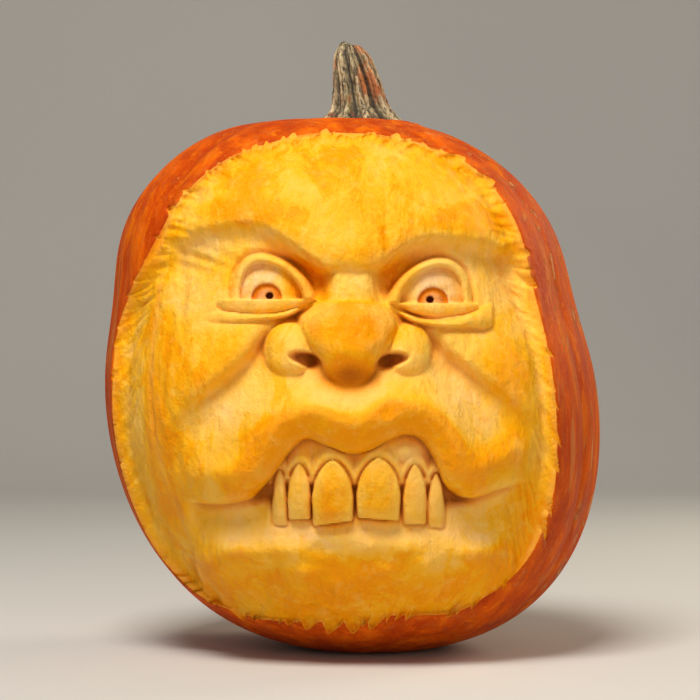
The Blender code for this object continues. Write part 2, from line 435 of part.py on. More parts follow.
def scrapes(x, z, inward):
    """Shallow knife facets over the bare flesh."""
    draw = np.random.default_rng(SCRAPE_SEED)
    relief = np.zeros(x.shape)
    for _ in range(SCRAPE_COUNT):
        middle_x, middle_z = draw.uniform(-112, 112), draw.uniform(18, 282)
        tilt = draw.uniform(-SCRAPE_TILT, SCRAPE_TILT)
        long, wide = draw.uniform(*SCRAPE_LONG), draw.uniform(*SCRAPE_WIDE)
        deep = draw.uniform(*SCRAPE_RISE) * (1 + SCRAPE_MORE_ON_CHIN * float(smooth(92, 60, middle_z)))
        close = (np.abs(x - middle_x) < SCRAPE_REACH) & (np.abs(z - middle_z) < SCRAPE_REACH)
        ahead = (z[close] - middle_z) * math.cos(tilt) + (x[close] - middle_x) * math.sin(tilt)
        aside = (x[close] - middle_x) * math.cos(tilt) - (z[close] - middle_z) * math.sin(tilt)
        relief[close] += deep * np.exp(-(ahead / long) ** 2 - (aside / wide) ** 4)
    return relief * smooth(2, 14, inward)


def patch_place(x, y, z):
    """Distance inside the smooth edge of the carved patch, and the bearing round it in degrees."""
    w = z - MID_HEIGHT
    size = np.sqrt(x * x + y * y + w * w) + 1e-9
    ahead = (x * math.sin(PATCH_AXIS) - y * math.cos(PATCH_AXIS)) / size
    across = (x * math.cos(PATCH_AXIS) + y * math.sin(PATCH_AXIS)) / size
    angle = np.degrees(np.arccos(np.clip(ahead, -1, 1)))
    bearing = np.degrees(np.arctan2(w / size, across))
    return (curve(bearing, PATCH_EDGE) - angle) * ARC_PER_DEGREE, bearing


def gouge_marks(inward, bearing, count, spread, flame):
    """Depth of one set of gouge marks; flame is how far the longest run out over the rind."""
    draw = np.random.default_rng(GOUGE_SEED + count)
    cut = np.zeros(inward.shape)
    for i in range(count):
        turn = -180 + 360 * (i + draw.uniform(-0.4, 0.4)) / count
        toward_foot = float(bell((turn - FOOT_BEARING) / FOOT_SPREAD))
        toward_top = float(bell((turn - TOP_BEARING) / TOP_SPREAD))
        out = flame * draw.uniform(*GOUGE_OUT) * (1 + FOOT_MORE * toward_foot + TOP_MORE * toward_top)
        length = draw.uniform(*GOUGE_LENGTH) + FOOT_LONGER * toward_foot
        wide = spread * draw.uniform(*GOUGE_SPREAD) * (1 + FOOT_WIDER * toward_foot)
        slant = float(curve(np.array([turn]), GOUGE_SLANT)[0]) + draw.uniform(-GOUGE_STRAY, GOUGE_STRAY)
        deep = draw.uniform(*GOUGE_DEPTH) - TOP_SHALLOWER * toward_top
        off = (bearing - turn + 180) % 360 - 180
        close = np.abs(off) < 30
        run = inward[close] + out
        lateral = np.radians(off[close]) * PATCH_RADIUS - slant * run
        width = wide * np.clip(run / (1.5 * flame + 4) / (1 + toward_foot), 0, 1) ** 0.85 + 1e-3
        across = np.clip(1 - (lateral / width) ** 2, 0, 1)
        fade = smooth(0, 3, run) * smooth(length, length * 0.3, run)
        cut[close] = np.maximum(cut[close], np.minimum(deep, GOUGE_STEEPNESS * width) * across * fade)
    return cut


def gouges(inward, bearing, count=GOUGE_COUNT):
    """Depth of the gouge marks that run in from the ragged edge of the patch."""
    cut = np.zeros(inward.shape)
    ring = (inward > -16) & (inward < 62)
    flames = gouge_marks(inward[ring], bearing[ring], FLAME_COUNT, FLAME_WIDTH, FLAME_REACH)
    fine = gouge_marks(inward[ring], bearing[ring], count, GOUGE_WIDTH, GOUGE_REACH)
    cut[ring] = np.maximum(fine, flames)
    return cut


def waist(turn, z):
    """The narrowing under the shoulders, less at the back."""
    full = WAIST_AT_BACK + (1 - WAIST_AT_BACK) * smooth(-0.6, 0.1, np.cos(turn))
    return 1 - WAIST_DEPTH * bell((z - WAIST_HEIGHT) / WAIST_REACH) * full


def rib_scale(turn, z):
    """Radius of the ribbed fruit as a share of the smooth one; turn is the angle from the front."""
    wave = np.abs(np.sin(RIB_COUNT / 2 * (turn - FIRST_FURROW)))
    furrow = (1 - wave) ** 1.7
    depth = mix(FURROW_DEPTH, FURROW_DEPTH_AT_TOP, smooth(*SHOULDER_HEIGHTS, z)) * smooth(*FOOT_HEIGHTS, z)
    sway = PLEAT_SWAY * np.sin(z / PLEAT_SWAY_HEIGHT) + PLEAT_UNEVENNESS * np.sin(3 * turn)
    pleats = 0.5 - 0.5 * np.cos(PLEAT_COUNT * turn + sway)
    beside = smooth(*PLEAT_SIDES, np.cos(turn)) * smooth(*PLEAT_FOOT, z) * smooth(*PLEAT_TOP, z)
    return 1 - depth * furrow - PLEAT_DEPTH * pleats * beside


def fruit_point(turn, rise):
    """Radius, height, rib scale and lean for an angle from the front and a rise from foot to top."""
    up, out = np.sin(rise), np.cos(rise)
    reach = (np.abs(up) ** SECTION_POWER + np.abs(out) ** SECTION_POWER) ** (-1 / SECTION_POWER)
    z = MID_HEIGHT + HALF_HEIGHT * up * reach
    radius = HALF_WIDTH * out * reach * waist(turn, z)
    top = smooth(200, 260, z)
    shoulder = SHOULDER_RISE * bell((radius - SHOULDER_RADIUS) / SHOULDER_REACH)
    z_shaped = z + top * (shoulder - DIMPLE_DEPTH * smooth(DIMPLE_RIM, DIMPLE_FLOOR, radius))
    scale = mix(1.0, rib_scale(turn, z), smooth(20, 40, radius))
    lean = mix(LEAN * (z - LEAN_PIVOT), STALK_MIDDLE[0][1], top * smooth(58, 22, radius))
    return radius, np.maximum(z_shaped, 0.0), scale, lean


def carved_fruit(turn, rise, marks=GOUGE_COUNT):
    """Points of the carved fruit in millimetres and the depth of each below the whole fruit's skin."""
    radius, z, scale, lean = fruit_point(turn, rise)
    x, y = radius * np.sin(turn) + lean, -radius * np.cos(turn)
    skin_x, skin_y = radius * scale * np.sin(turn) + lean, -radius * scale * np.cos(turn)
    depth = np.zeros(x.shape)
    front = np.cos(turn) > -0.1
    fx, fy, fz = x[front], y[front], z[front]
    inward, bearing = patch_place(fx, fy, fz)
    near = inward > -16
    fx, fz, inward, bearing = fx[near], fz[near], inward[near], bearing[near]
    relief = large_forms(fx, fz, inward) + scrapes(fx, fz, inward)
    relief = eyes(fx, fz, nose(fx, fz, mouth(fx, fz, relief)))
    cut = gouges(inward, bearing, marks)
    relief = relief - cut * smooth(62, 8, inward)
    within = np.maximum(smooth(0, 2.5, inward), np.clip(cut / 0.8, 0, 1))
    index = np.flatnonzero(front)[near]
    turn_here, radius_here = turn[index], radius[index]
    rib_cut = (1 - scale[index]) * radius_here / np.maximum(np.cos(turn_here), 0.5)
    sunk = np.maximum(-relief, rib_cut + 1.2)
    sideways = smooth(0.55, 0.95, np.abs(np.sin(turn_here)))
    step_x = -sideways * np.sin(turn_here)
    step_y = (1 - sideways) + sideways * np.cos(turn_here)
    length = np.hypot(step_x, step_y)
    skin_x[index] = mix(skin_x[index], x[index] + sunk * step_x / length, within)
    skin_y[index] = mix(skin_y[index], y[index] + sunk * step_y / length, within)
    depth[index] = (sunk - rib_cut) * within
    return np.stack([skin_x, skin_y, z], -1), depth


def dimple_floor():
    """Height of the fruit under the middle of the stalk."""
    return float(fruit_point(np.array([0.0]), np.array([math.pi / 2]))[1][0])


def stalk(turn, rise, fine=1.0):
    """Points of the stalk in millimetres; rise runs from its flat foot (-90 degrees) to its tip."""
    share = rise / math.pi + 0.5
    foot_z, tip_z = dimple_floor() + STALK_GAP, STALK_HALF[-1][0]
    climb = np.clip((share - STALK_FOOT_SHARE) / (1 - STALK_FOOT_SHARE - STALK_TIP_SHARE), 0, 1)
    z = foot_z + (tip_z - foot_z) * climb
    half = curve(z, STALK_HALF)
    half = half * np.clip(share / STALK_FOOT_SHARE, 0, 1) * np.clip((1 - share) / STALK_TIP_SHARE, 0, 1)
    angle = turn + STALK_TWIST * (z - foot_z)
    coarse = (1 - np.abs(np.sin(STALK_RIDGES / 2 * angle + 0.6))) ** 1.4
    small = (1 - np.abs(np.sin(STALK_FINE_RIDGES / 2 * angle + 0.25 * np.sin(z * 0.21)))) ** 1.5
    uneven = 0.05 * np.sin(2 * angle + 0.8) + 0.03 * np.sin(5 * angle + 0.05 * z)
    knots = 0.03 * np.sin(z * 0.83 + 3 * angle) * np.sin(7 * angle + 1.3)
    knots = knots + 0.02 * np.sin(z * 1.9 + 11 * angle)
    half = half * (1 - STALK_RIDGE_DEPTH * coarse + fine * (knots - STALK_FINE_DEPTH * small) + uneven)
    x = curve(z, STALK_MIDDLE) + half * np.sin(turn)
    y = -half * np.cos(turn)
    knob_x, knob_reach, knob_rise = STALK_KNOB
    knob = knob_rise * bell((x - knob_x) / knob_reach) * bell(y / knob_reach) * smooth(tip_z - 4, tip_z, z)
    return np.stack([x, y, z + knob + 0.8 * (share > 0.999)], -1)


# The meshes: columns round a piece, rows up it, and the share of its faces kept where it is nearly flat.
FRUIT_COLUMNS, FRUIT_ROWS = 75, 60
FRUIT_LEVELS = 2
FACE_FOCUS, ROW_FOCUS = 0.55, 0.35
FRUIT_KEEP = 0.074
FRUIT_GOUGES = 0
STALK_COLUMNS, STALK_ROWS = 54, 15

# Materials as (colour, roughness).
FLESH_AND_RIND = ((0.90, 0.42, 0.05, 1.0), 0.45)
WOODY_STALK = ((0.28, 0.24, 0.13, 1.0), 0.75)


def material(name, look):
    """A plain material of this colour and roughness."""
    made = bpy.data.materials.new(name)
    made.use_nodes = True
    shader = made.node_tree.nodes["Principled BSDF"]
    shader.inputs["Base Color"].default_value = look[0]
    shader.inputs["Roughness"].default_value = look[1]
    shader.inputs["Metallic"].default_value = 0.0
    made.diffuse_color = look[0]
    return made


def divide(piece, levels):
    """Splits each face of a piece in four, this many times."""
    finer = piece.modifiers.new("finer", "SUBSURF")
    finer.subdivision_type = "SIMPLE"
    finer.levels = finer.render_levels = levels
    graph = bpy.context.evaluated_depsgraph_get()
    coarse = piece.data
    piece.data = bpy.data.meshes.new_from_object(piece.evaluated_get(graph), depsgraph=graph)
    piece.modifiers.clear()
    bpy.data.meshes.remove(coarse)
    piece.data.name = piece.name


def ball(name, columns, rows, levels, look, collection):
    """A unit ball, and the angle from the front and the rise of each of its points."""
    bm = bmesh.new()
    bmesh.ops.create_uvsphere(bm, u_segments=columns, v_segments=rows, radius=1.0)
    bmesh.ops.recalc_face_normals(bm, faces=bm.faces)
    mesh = bpy.data.meshes.new(name)
    bm.to_mesh(mesh)
    bm.free()
    piece = bpy.data.objects.new(name, mesh)
    collection.objects.link(piece)
    piece.data.materials.append(material(name + "_surface", look))
    if levels:
        divide(piece, levels)
    points = np.empty(len(piece.data.vertices) * 3)
    piece.data.vertices.foreach_get("co", points)
    points = points.reshape(-1, 3)
    points /= np.linalg.norm(points, axis=1)[:, None]
    turn = np.arctan2(points[:, 0], -points[:, 1])
    rise = np.arcsin(np.clip(points[:, 2], -1.0, 1.0))
    return piece, turn, rise


def shape(piece, points, middle_x, middle_y):
    """Moves the points of a piece to these millimetres, about the middle of the fruit."""
    points = (points - np.array([middle_x, middle_y, 0.0])) * MM
    piece.data.vertices.foreach_set("co", points.ravel())
    piece.data.polygons.foreach_set("use_smooth", [True] * len(piece.data.polygons))
    piece.data.update()


def main():
    for old in list(bpy.data.objects):
        bpy.data.objects.remove(old, do_unlink=True)
    collection = bpy.data.collections.new("carved_pumpkin")
    bpy.context.scene.collection.children.link(collection)

    fruit, turn, rise = ball("pumpkin", FRUIT_COLUMNS, FRUIT_ROWS, FRUIT_LEVELS, FLESH_AND_RIND, collection)
    turn = turn - FACE_FOCUS * np.sin(turn)
    rise = rise - ROW_FOCUS * np.sin(2 * rise) / 2
    points, _ = carved_fruit(turn, rise, FRUIT_GOUGES)
    middle_x = (points[:, 0].min() + points[:, 0].max()) / 2
    middle_y = (points[:, 1].min() + points[:, 1].max()) / 2
    shape(fruit, points, middle_x, middle_y)
    fewer = fruit.modifiers.new("fewer_flat_faces", "DECIMATE")
    fewer.ratio = FRUIT_KEEP

    stem, turn, rise = ball("stem", STALK_COLUMNS, STALK_ROWS, 0, WOODY_STALK, collection)
    shape(stem, stalk(turn, rise, 0.0), middle_x, middle_y)


main()
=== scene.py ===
"""Carved pumpkin: a whole pumpkin with a snarling face cut into one side, and its woody stem."""

import math

import bmesh
import bpy
import numpy as np
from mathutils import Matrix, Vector


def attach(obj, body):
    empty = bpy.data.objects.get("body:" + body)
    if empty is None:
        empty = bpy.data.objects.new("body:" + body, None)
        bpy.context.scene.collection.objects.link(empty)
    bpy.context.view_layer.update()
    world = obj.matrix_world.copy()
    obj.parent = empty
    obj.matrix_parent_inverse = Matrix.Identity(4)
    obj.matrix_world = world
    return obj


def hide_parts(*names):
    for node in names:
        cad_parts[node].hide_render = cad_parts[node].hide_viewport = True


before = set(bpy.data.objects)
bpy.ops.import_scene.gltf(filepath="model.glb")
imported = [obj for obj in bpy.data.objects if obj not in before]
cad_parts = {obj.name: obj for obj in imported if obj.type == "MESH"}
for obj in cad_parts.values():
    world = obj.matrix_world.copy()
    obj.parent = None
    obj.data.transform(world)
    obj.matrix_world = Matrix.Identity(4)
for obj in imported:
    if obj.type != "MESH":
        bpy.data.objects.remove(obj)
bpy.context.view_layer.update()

bl_info = {
    "name": "Carved pumpkin",
    "version": (1, 0, 0),
    "blender": (4, 5, 0),
    "location": "View3D > Sidebar > Pumpkin",
    "description": "Carved pumpkin with its stem, on a plain stage",
    "category": "Object",
}

# The fruit before carving: a rounded-square section turned about the upright axis.
# All lengths in the sizes below are millimetres, x to the viewer's right, z above the table.
MM = 0.001
TINY, TINIER = 1e-6, 1e-9
HALF_WIDTH = 140.0
HALF_HEIGHT = 151.0
MID_HEIGHT = 149.5
SECTION_POWER = 2.4
LEAN, LEAN_PIVOT = -0.079, 133.0
WAIST_DEPTH, WAIST_HEIGHT, WAIST_REACH, WAIST_AT_BACK = 0.044, 196.0, 36.0, 0.65
WAIST_FADE = (-0.6, 0.1)
RIB_COUNT = 12
FIRST_FURROW = math.radians(8.0)
FURROW_DEPTH, FURROW_DEPTH_AT_TOP, FURROW_SHARPNESS = 0.024, 0.045, 1.7
SHOULDER_HEIGHTS, FOOT_HEIGHTS = (225, 292), (-10, 30)
PLEAT_COUNT, PLEAT_DEPTH = 36, 0.009
PLEAT_SWAY, PLEAT_SWAY_HEIGHT, PLEAT_UNEVENNESS, PLEAT_WAVES = 0.5, 37.0, 0.8, 3
PLEAT_SIDES, PLEAT_FOOT, PLEAT_TOP = (0.62, 0.25), (20, 70), (285, 240)
DIMPLE_DEPTH, DIMPLE_FLOOR, DIMPLE_RIM = 6.0, 25.0, 47.0
SHOULDER_RISE, SHOULDER_RADIUS, SHOULDER_REACH = -0.8, 46.0, 16.0
CROWN_HEIGHTS, RIBS_START, LEAN_TO_STALK = (200, 260), (20, 40), (58, 22)

# The stalk: its middle and its half width against height, its ridges, and its gap to the fruit.
STALK_MIDDLE = ((293, 5.6), (300, 5.4), (304, 5.1), (309.5, 4.2), (318, 3.1), (326.5, 1.4),
                (333.5, 0.0), (340, -1.4))
STALK_HALF = ((293, 28), (296, 26), (300, 22.4), (304, 18.8), (309.5, 16.8), (318, 15.0), (326.5, 13.3),
              (333.5, 11.4), (337, 9.2), (340, 6.2))
STALK_RIDGES, STALK_RIDGE_DEPTH = 9, 0.23
STALK_FINE_RIDGES, STALK_FINE_DEPTH = 25, 0.12
STALK_TWIST = 0.006
STALK_GAP = 0.3
STALK_FOOT_SHARE, STALK_TIP_SHARE = 0.14, 0.07
STALK_KNOB, STALK_KNOB_REACH, STALK_TIP_RISE, STALK_TIP_FROM = (-4.7, 3.2, 2.6), 4, 0.8, 0.999
STALK_PHASE, STALK_SHARPNESS = 0.6, 1.4
STALK_FINE_SWAY, STALK_FINE_SWAY_RATE, STALK_FINE_SHARPNESS = 0.25, 0.21, 1.5
# Waves round the stalk as (depth, count, phase, turn per millimetre), and its knots as sines along it.
STALK_WAVES = ((0.05, 2, 0.8, 0.0), (0.03, 5, 0.0, 0.05))
KNOT_DEPTH, KNOT_RATE, KNOT_LEAN, KNOT_COUNT, KNOT_PHASE = 0.018, 0.83, 3, 7, 1.3
FINE_KNOT_DEPTH, FINE_KNOT_RATE, FINE_KNOT_LEAN = 0.01, 1.9, 11

# Lines of the face as (x, z), left to right.
BROW = ((-112, 220), (-88, 231), (-66, 235), (-46, 233), (-34.5, 226), (-23, 217), (-15, 212),
        (-7, 210), (6, 210.5), (15, 213.5), (24, 220), (35, 226), (47, 228), (64, 227), (82, 223.5),
        (112, 208))
FOLD = ((-112, 98), (-99, 119), (-86, 134), (-64, 151), (-51, 163), (-42, 176), (-20, 184), (18, 184),
        (38, 176), (46, 165), (58, 155.5), (82, 137), (98, 122), (112, 100))
LIP_EDGE = ((-108, 87), (-86, 86.5), (-60, 88), (-50, 91.5), (-40, 104), (-33, 114), (-25, 121.5),
            (-13, 118), (-2, 114), (9, 115.5), (20, 121.5), (29, 124), (37, 120), (43, 110), (48, 97),
            (53, 92), (62, 90), (78, 94.5), (104, 99))

# How softly the distance from a line turns a corner, and the edge of a boss.
LINE_BLUR, LINE_SPREAD, LINE_SHARP = 4.0, 1.12, (2, 9)
BOSS_POWER, BOSS_FALL = 2.2, 30.0

# Height of a form against its distance from its line, below zero where it is cut into the fruit.
LIP_CREST = ((-1, -18), (0.2, -15), (1.0, -11), (2.6, -8.6), (6, -6.2), (10, -3.8), (13.5, -2.4),
             (16, -2.7), (20, -5.0), (28, -8.6), (60, -10))
LIP_ROLL = ((-2, -14.5), (0.3, -12), (2.5, -9.4), (6, -7.4), (11, -5.0), (15, -4.0), (20, -4.8),
            (34, -7.2), (60, -8))
CHIN_MIDDLE = ((0, -2), (22, -5.4), (40, -6.0), (50, -5.8), (60, -6.6), (67, -8.9), (73, -12.2),
               (79, -15.2), (85, -16.6), (94, -17), (130, -17))
CHIN_SIDE = ((0, -2), (36, -5), (48, -3.8), (56, -3.2), (63, -6.2), (71, -11), (80, -14.4), (92, -15),
             (130, -15))
FOLD_VALLEY = ((36, 4.5), (46, 9.6), (60, 10.4), (75, 8.4), (90, 4.4), (104, 1.0), (114, 0.0))

# Soft swellings and hollows as (x, z, reach across, reach up, rise).
FACE_SWELLS = (
    (-90, 138, 24, 32, 3.0), (88, 132, 24, 34, 2.6), (0, 178, 50, 26, -9.0), (-46, 246, 20, 12, 1.2),
    (-78, 246, 14, 10, -1.6), (-2, 222, 14, 9, 1.3), (17.5, 240, 1.6, 40, -1.0),
    (-20.5, 192, 8, 8, 5.5), (22, 190.5, 8, 8, 5.5),
)
CHIN_SWELLS = (
    (-60, 62, 14, 6.5, 5.0), (65, 61, 14, 7, 5.2), (2, 57, 22, 7, -2.0), (0, 28, 40, 12, 1.4),
    (-4, 71, 12, 4, 1.6), (-26, 51, 7, 4.5, 2.2), (18, 52, 6, 4.5, 2.0), (38, 55, 6, 5, 2.2),
    (-8, 43, 8, 5, 2.0), (-44, 53, 6, 6, -1.4), (52, 52, 6, 6, -1.4), (-66, 40, 8, 12, 1.5),
    (70, 42, 7, 13, 1.6), (12, 36, 7, 8, -1.3), (-35, 63, 9, 5, 2.0), (-16, 64, 6, 4, -1.8),
    (28, 65, 9, 5, 2.0), (10, 66, 5, 3, 1.4), (-76, 56, 8, 9, 1.8), (80, 58, 7, 10, 1.6),
    (-24, 44, 10, 8, 1.2), (30, 42, 9, 10, 1.2), (-48, 40, 7, 12, -1.2), (52, 44, 6, 12, -1.2),
    (-72, 82, 16, 6, -2.6), (78, 86, 14, 6, -2.6),
)

# The brow ridge, the sockets under it, and the fold beside the muzzle.
BROW_ENDS = (114, 80)
BROW_RIDGE_RISE, BROW_RIDGE_HALF = 1.6, 7
SOCKET_DEPTH, INNER_SOCKET_DEPTH = 8.0, 8.5
INNER_SOCKET_AT, INNER_SOCKET_REACH = 21, 17
SOCKET_EDGE, SOCKET_EDGE_BY_NOSE = (-2, 9), (-2, 8)
SOCKET_FOOT, SOCKET_FOOT_BY_NOSE = (46, 16), (23, 5)
EDGE_BY_NOSE, FOOT_BY_NOSE = (58, 34), (32, 12)
SOCKET_HOLLOWS = ((72, 213, 17, 9, 3.5), (-88, 214, 16, 9, 3.0))
BROW_HAIRS = (-82, 216, 19, 9, 1.3)
HAIR_UP, HAIR_ACROSS, HAIR_SWAY, HAIR_SWAY_RATE = 0.8835, 0.399, 1.2, 0.11
PEEL_START, LIP_OF_PEEL_EDGE = -1.0, (-2.0, 1.0)
FOLD_ENDS, FOLD_EDGE, FOLD_TOP = (112, 86), (-3, 12), (184, 170)
FOLD_HALF_OUTSIDE, FOLD_HALF_INSIDE = 5.0, 12
MUZZLE_LEVEL = -9.2
PHILTRUM_X, PHILTRUM_HALF, PHILTRUM_DEPTH = -1, 14, 2.5
MUZZLE_CHEEKS = (65, 106, 23, 16, 1.6)
UNDER_NOSE = (-1, 157, 40, 14, -6.5)

# Where the lips, the chin and the corners of the mouth begin and end, mostly as distances from the middle.
MOUTH_MIDDLE, MOUTH_ENDS, MOUTH_FADE = 2, (100, 84), (104, 90)
CREST_ENDS, LIP_FADE, LIP_STEP = (86, 64), (34, 12), (-0.5, 0.9)
LIP_DIP_HALF, LIP_DIP_RANGE = 10, (18, 6)
CHIN_SIDE_RANGE, CHIN_ARC_END = (52, 78), 80
CREASE_DEPTH, CREASE_PLACE, CREASE_HALF = 1.8, 1.2, 2.0
CREASE_START, CREASE_END = (46, 54), (92, 80)

# Each tooth as (middle, half width, top, bottom, height of its face, slant of its lower edge).
TEETH = (
    (-37.8, 4.2, 105.5, 76.0, -12.6, -0.10),
    (-27.5, 6.5, 108.5, 79.4, -10.6, 0.05),
    (-10.1, 11.2, 110.4, 77.6, -7.2, 0.14),
    (13.6, 11.9, 111.6, 79.8, -7.6, -0.08),
    (32.7, 6.7, 108.0, 76.9, -10.4, 0.0),
    (43.8, 4.8, 103.5, 74.8, -12.6, -0.15),
)
TEETH_MIDDLE, TEETH_ENDS, UNDER_LIP = 3, (49.5, 47.5), (0.4, -0.6)
TOOTH_ARCH_START, TOOTH_ARCH_LENGTH, TOOTH_ARCH_POWERS = 0.34, 0.68, (2.1, 0.62)
TOOTH_TAPER, TOOTH_TAPER_END, TOOTH_CORNER = 0.06, 0.4, 0.6
TOOTH_ROUNDING, TOOTH_ROUNDING_POWER = 2.4, 2.6
TOOTH_HALFWAY, TOOTH_ARCH_SLOPE, TOOTH_CORNER_SLOPE = 0.5, 0.8, 0.7
TOOTH_OVER, TOOTH_OUTSIDE = 1.02, -5.0
TOOTH_ROOT_FALL, TOOTH_ROOT, TOOTH_TIP_FALL, TOOTH_TIP = 2.2, (0.55, 1.0), 1.0, (0.22, 0)
TOOTH_GROOVE, TOOTH_GROOVE_EDGE, TOOTH_EDGE = 1.6, (-1.5, -0.1), (-0.1, 0.9)
GUM_LEVEL, GUM_FOOT, GUM_EDGE = -17.6, 98.0, 1.5
GUM_FALL, GUM_FLAT, GUM_LUMP = 0.10, 14, (28, 115.5, 9, 6, 6.0)
GUM_ASIDE, GUM_OVER = 4.0, 5.0
GUM_RISE, GUM_RING, GUM_RING_HALF = 5.2, 0.95, 0.15
# How much lower the step under the teeth runs toward the jaws, and the hollows beside the teeth.
CHIN_ARC = 0.0007
MOUTH_CORNERS = ((-46, 93, 9, 6, -6.5), (52, 92, 10, 6, -6.5))

# The nose: half width and height of its front against z, its wings and its nostrils.
NOSE_MIDDLE = -1.5
NOSE_HALF = ((143.6, 4), (146, 10), (151, 13.2), (156, 14.8), (162, 15.6), (168, 19.5), (175, 24.5),
             (182, 25.6), (187, 23.4), (191, 18.8), (194, 13), (196, 6))
NOSE_FRONT = ((143.6, -15.5), (146, -13.4), (150, -11.8), (156, -8.9), (162, -5.4), (168, -2.5),
              (175, -1.8), (183, -2.0), (188, -3.2), (192, -5.8), (196, -10.5))
BRIDGE_FRONT = ((176, -11), (186, -8.5), (195, -9.0), (206, -10.5), (212, -12), (217, -16), (223, -30))
BRIDGE_HALF = ((176, 22), (186, 17), (196, 13.5), (208, 13), (218, 14.5))
WINGS = ((-33.0, 168.0, 12.5, 14.5, -7.5), (29.8, 167.5, 11.5, 14.5, -7.5))
NOSTRILS = ((-24.6, 163.4, -0.16, 9.0), (21.2, 162.8, 0.14, 9.2))

BRIDGE_FOOT, BRIDGE_TOP, BRIDGE_BLEND = 172, 226, 5.0
BRIDGE_DROP, BRIDGE_EDGE = 20, (-6, 9)
WING_ROUNDING, WING_BLEND = 9.5, 2.5
NOSE_SQUARENESS, NOSE_ROUNDING, NOSE_DROP_ASIDE, NOSE_DROP, NOSE_BLEND = 2.8, 14.0, 40.0, 6.0, 2.0
NOSTRIL_DEPTH, NOSTRIL_WALL, NOSTRIL_SLOPE = 11.5, (1.02, 0.4), (-9, 2)
NOSTRIL_HIGH, NOSTRIL_LOW, NOSTRIL_LOWER, NOSTRIL_LOWER_FROM = 4.6, 4.0, 4.5, 0.4
NOSE_DROP_REACH = 10

# Each eye as (side, pupil x, pupil z, peak of the lid, outer reach, inner reach, foot, height).
EYES = (
    (-1, -43.2, 196.3, -47.7, 11.2, 21.7, 194.3, 19.2),
    (1, 40.8, 194.3, 45.7, 13.0, 20.6, 192.3, 19.2),
)
# The middle of an iris from its pupil, outward and down; the ball's, outward and up.
IRIS_SHIFT, BALL_SHIFT = (1.6, 1.5), (3, 4)
IRIS_EDGE, IRIS_DEPTH, IRIS_HUB, IRIS_RISE = (8.6, 7.7), 2.0, (6.4, 4.8), 0.9
PUPIL_EDGE, PUPIL_DEPTH = (2.3, 1.3), 3
BALL_RADIUS, BALL_LEVEL, BALL_EDGE = 29.0, -13.6, (1.04, 0.97)
EYE_REACH = 22
LID_LEVEL, LID_ROLL, LID_EDGE, LID_FOOT_EDGE = -14.6, 4.4, (1.05, 0.985), 0.8
LID_THICKNESS, LID_INNER_GROWTH, LID_POWERS = (5.0, 4.6), 1.25, (2.3, 1.7)
LID_INNER_SIZE, LID_OUTER_SIZE, LID_TEMPLE_FALL, LID_NOSE_FALL = 15, 19, 0.05, 1.2
LID_CREASE, LID_CREASE_AT, LID_CREASE_HALF, LID_TEMPLE_POWER = 2.4, 1.04, 1 / 12, 1.5
SHELF_LEVEL, SHELF_TILT, SHELF_ROUNDING, SHELF_NOSE_FALL = -11.6, 1.2, 2.4, 2.2
SHELF_OVERLAP, SHELF_SOFT, SHELF_END, SHELF_POWER = 0.4, 0.6, (-0.3, 0.6), 3
EYE_RUN, STRIP_LEAST = (-1.3, 1), 0.4
POUCH_LEVEL, POUCH_SWELLING, POUCH_MORE, POUCH_NOSE_FALL = -13.4, 3.0, (0.0, 1.6), 1.6
POUCH_SOFT, POUCH_ENDS, POUCH_CREASE, CREASE_FADE = 1.1, ((12, 10), (2.5, 10)), 1.5, 8
POUCH_CREASE_SHARPNESS, POUCH_CREASE_TOP = 1.2, 3
# Lower edges of the shelf and of the pouch below it, and the pouch's upper edge, left eye then right.
SHELF_FOOT = (
    ((-71.5, 191), (-69.5, 189.2), (-63, 187.7), (-51, 186.6), (-35.9, 188.1), (-24, 191.7), (-17, 194.4)),
    ((20, 191.9), (25, 190.2), (33.5, 186.7), (44.3, 185.4), (56.2, 186.2), (64, 187.9), (67, 189.6)),
)
POUCH_TOP = (
    ((-80, 186), (-71, 189), (-63, 188), (-51, 186.6), (-35.9, 188.1), (-22, 193.5)),
    ((20, 191), (26, 188.2), (35.7, 184.6), (46.4, 183.4), (56.2, 184.8), (64.9, 190.0), (74, 193)),
)
POUCH_FOOT = (
    ((-80, 183), (-72, 182.2), (-61.9, 182.0), (-47.7, 183.6), (-34.8, 185.0), (-22, 191)),
    ((20, 190), (25, 186.2), (30.2, 183.0), (41.1, 180.5), (52, 179.4), (62, 179.6),
     (71.5, 179.2), (76, 182)),
)

# The carved patch: its half angle against the bearing round it, and the lean of the gouge marks.
PATCH_AXIS = math.radians(-6.0)
PATCH_EDGE = ((-180, 64), (-160, 68), (-140, 71), (-124, 69.5), (-111, 62.5), (-98, 56.5), (-86, 54.5),
              (-74, 54.5), (-62, 60.5), (-48, 63), (-30, 61.5), (-8, 58), (12, 58.3), (28, 60),
              (46, 64.6), (62, 67.2), (78, 63.0), (98, 59.6), (114, 57.8), (132, 56), (148, 57.4),
              (164, 64), (180, 64))
GOUGE_SLANT = ((-180, -1.3), (-140, -0.7), (-100, 0.2), (-60, 0.9), (-20, 1.2), (20, 0.8), (60, 0.1),
               (100, 0.0), (140, -0.6), (180, -1.3))
ARC_PER_DEGREE = 2.44
GOUGE_COUNT, GOUGE_WIDTH, GOUGE_REACH = 190, 2.6, 2.4
GOUGE_STEEPNESS = 0.7
GOUGE_OUT, GOUGE_LENGTH, GOUGE_SPREAD = (-0.7, 1.0), (14, 40), (0.55, 1.15)
GOUGE_DEPTH, GOUGE_STRAY, PATCH_RADIUS = (1.0, 2.4), 0.3, 132
GOUGE_SHUFFLE, GOUGE_WINDOW, GOUGE_FADE, PATCH_RING = 0.4, 30, (62, 8), (-16, 62)
GOUGE_TIP, GOUGE_TIP_MORE, GOUGE_TIP_POWER, GOUGE_LEAST_WIDTH = 1.5, 4, 0.85, 1e-3
GOUGE_START, GOUGE_END = (0, 3), 0.3
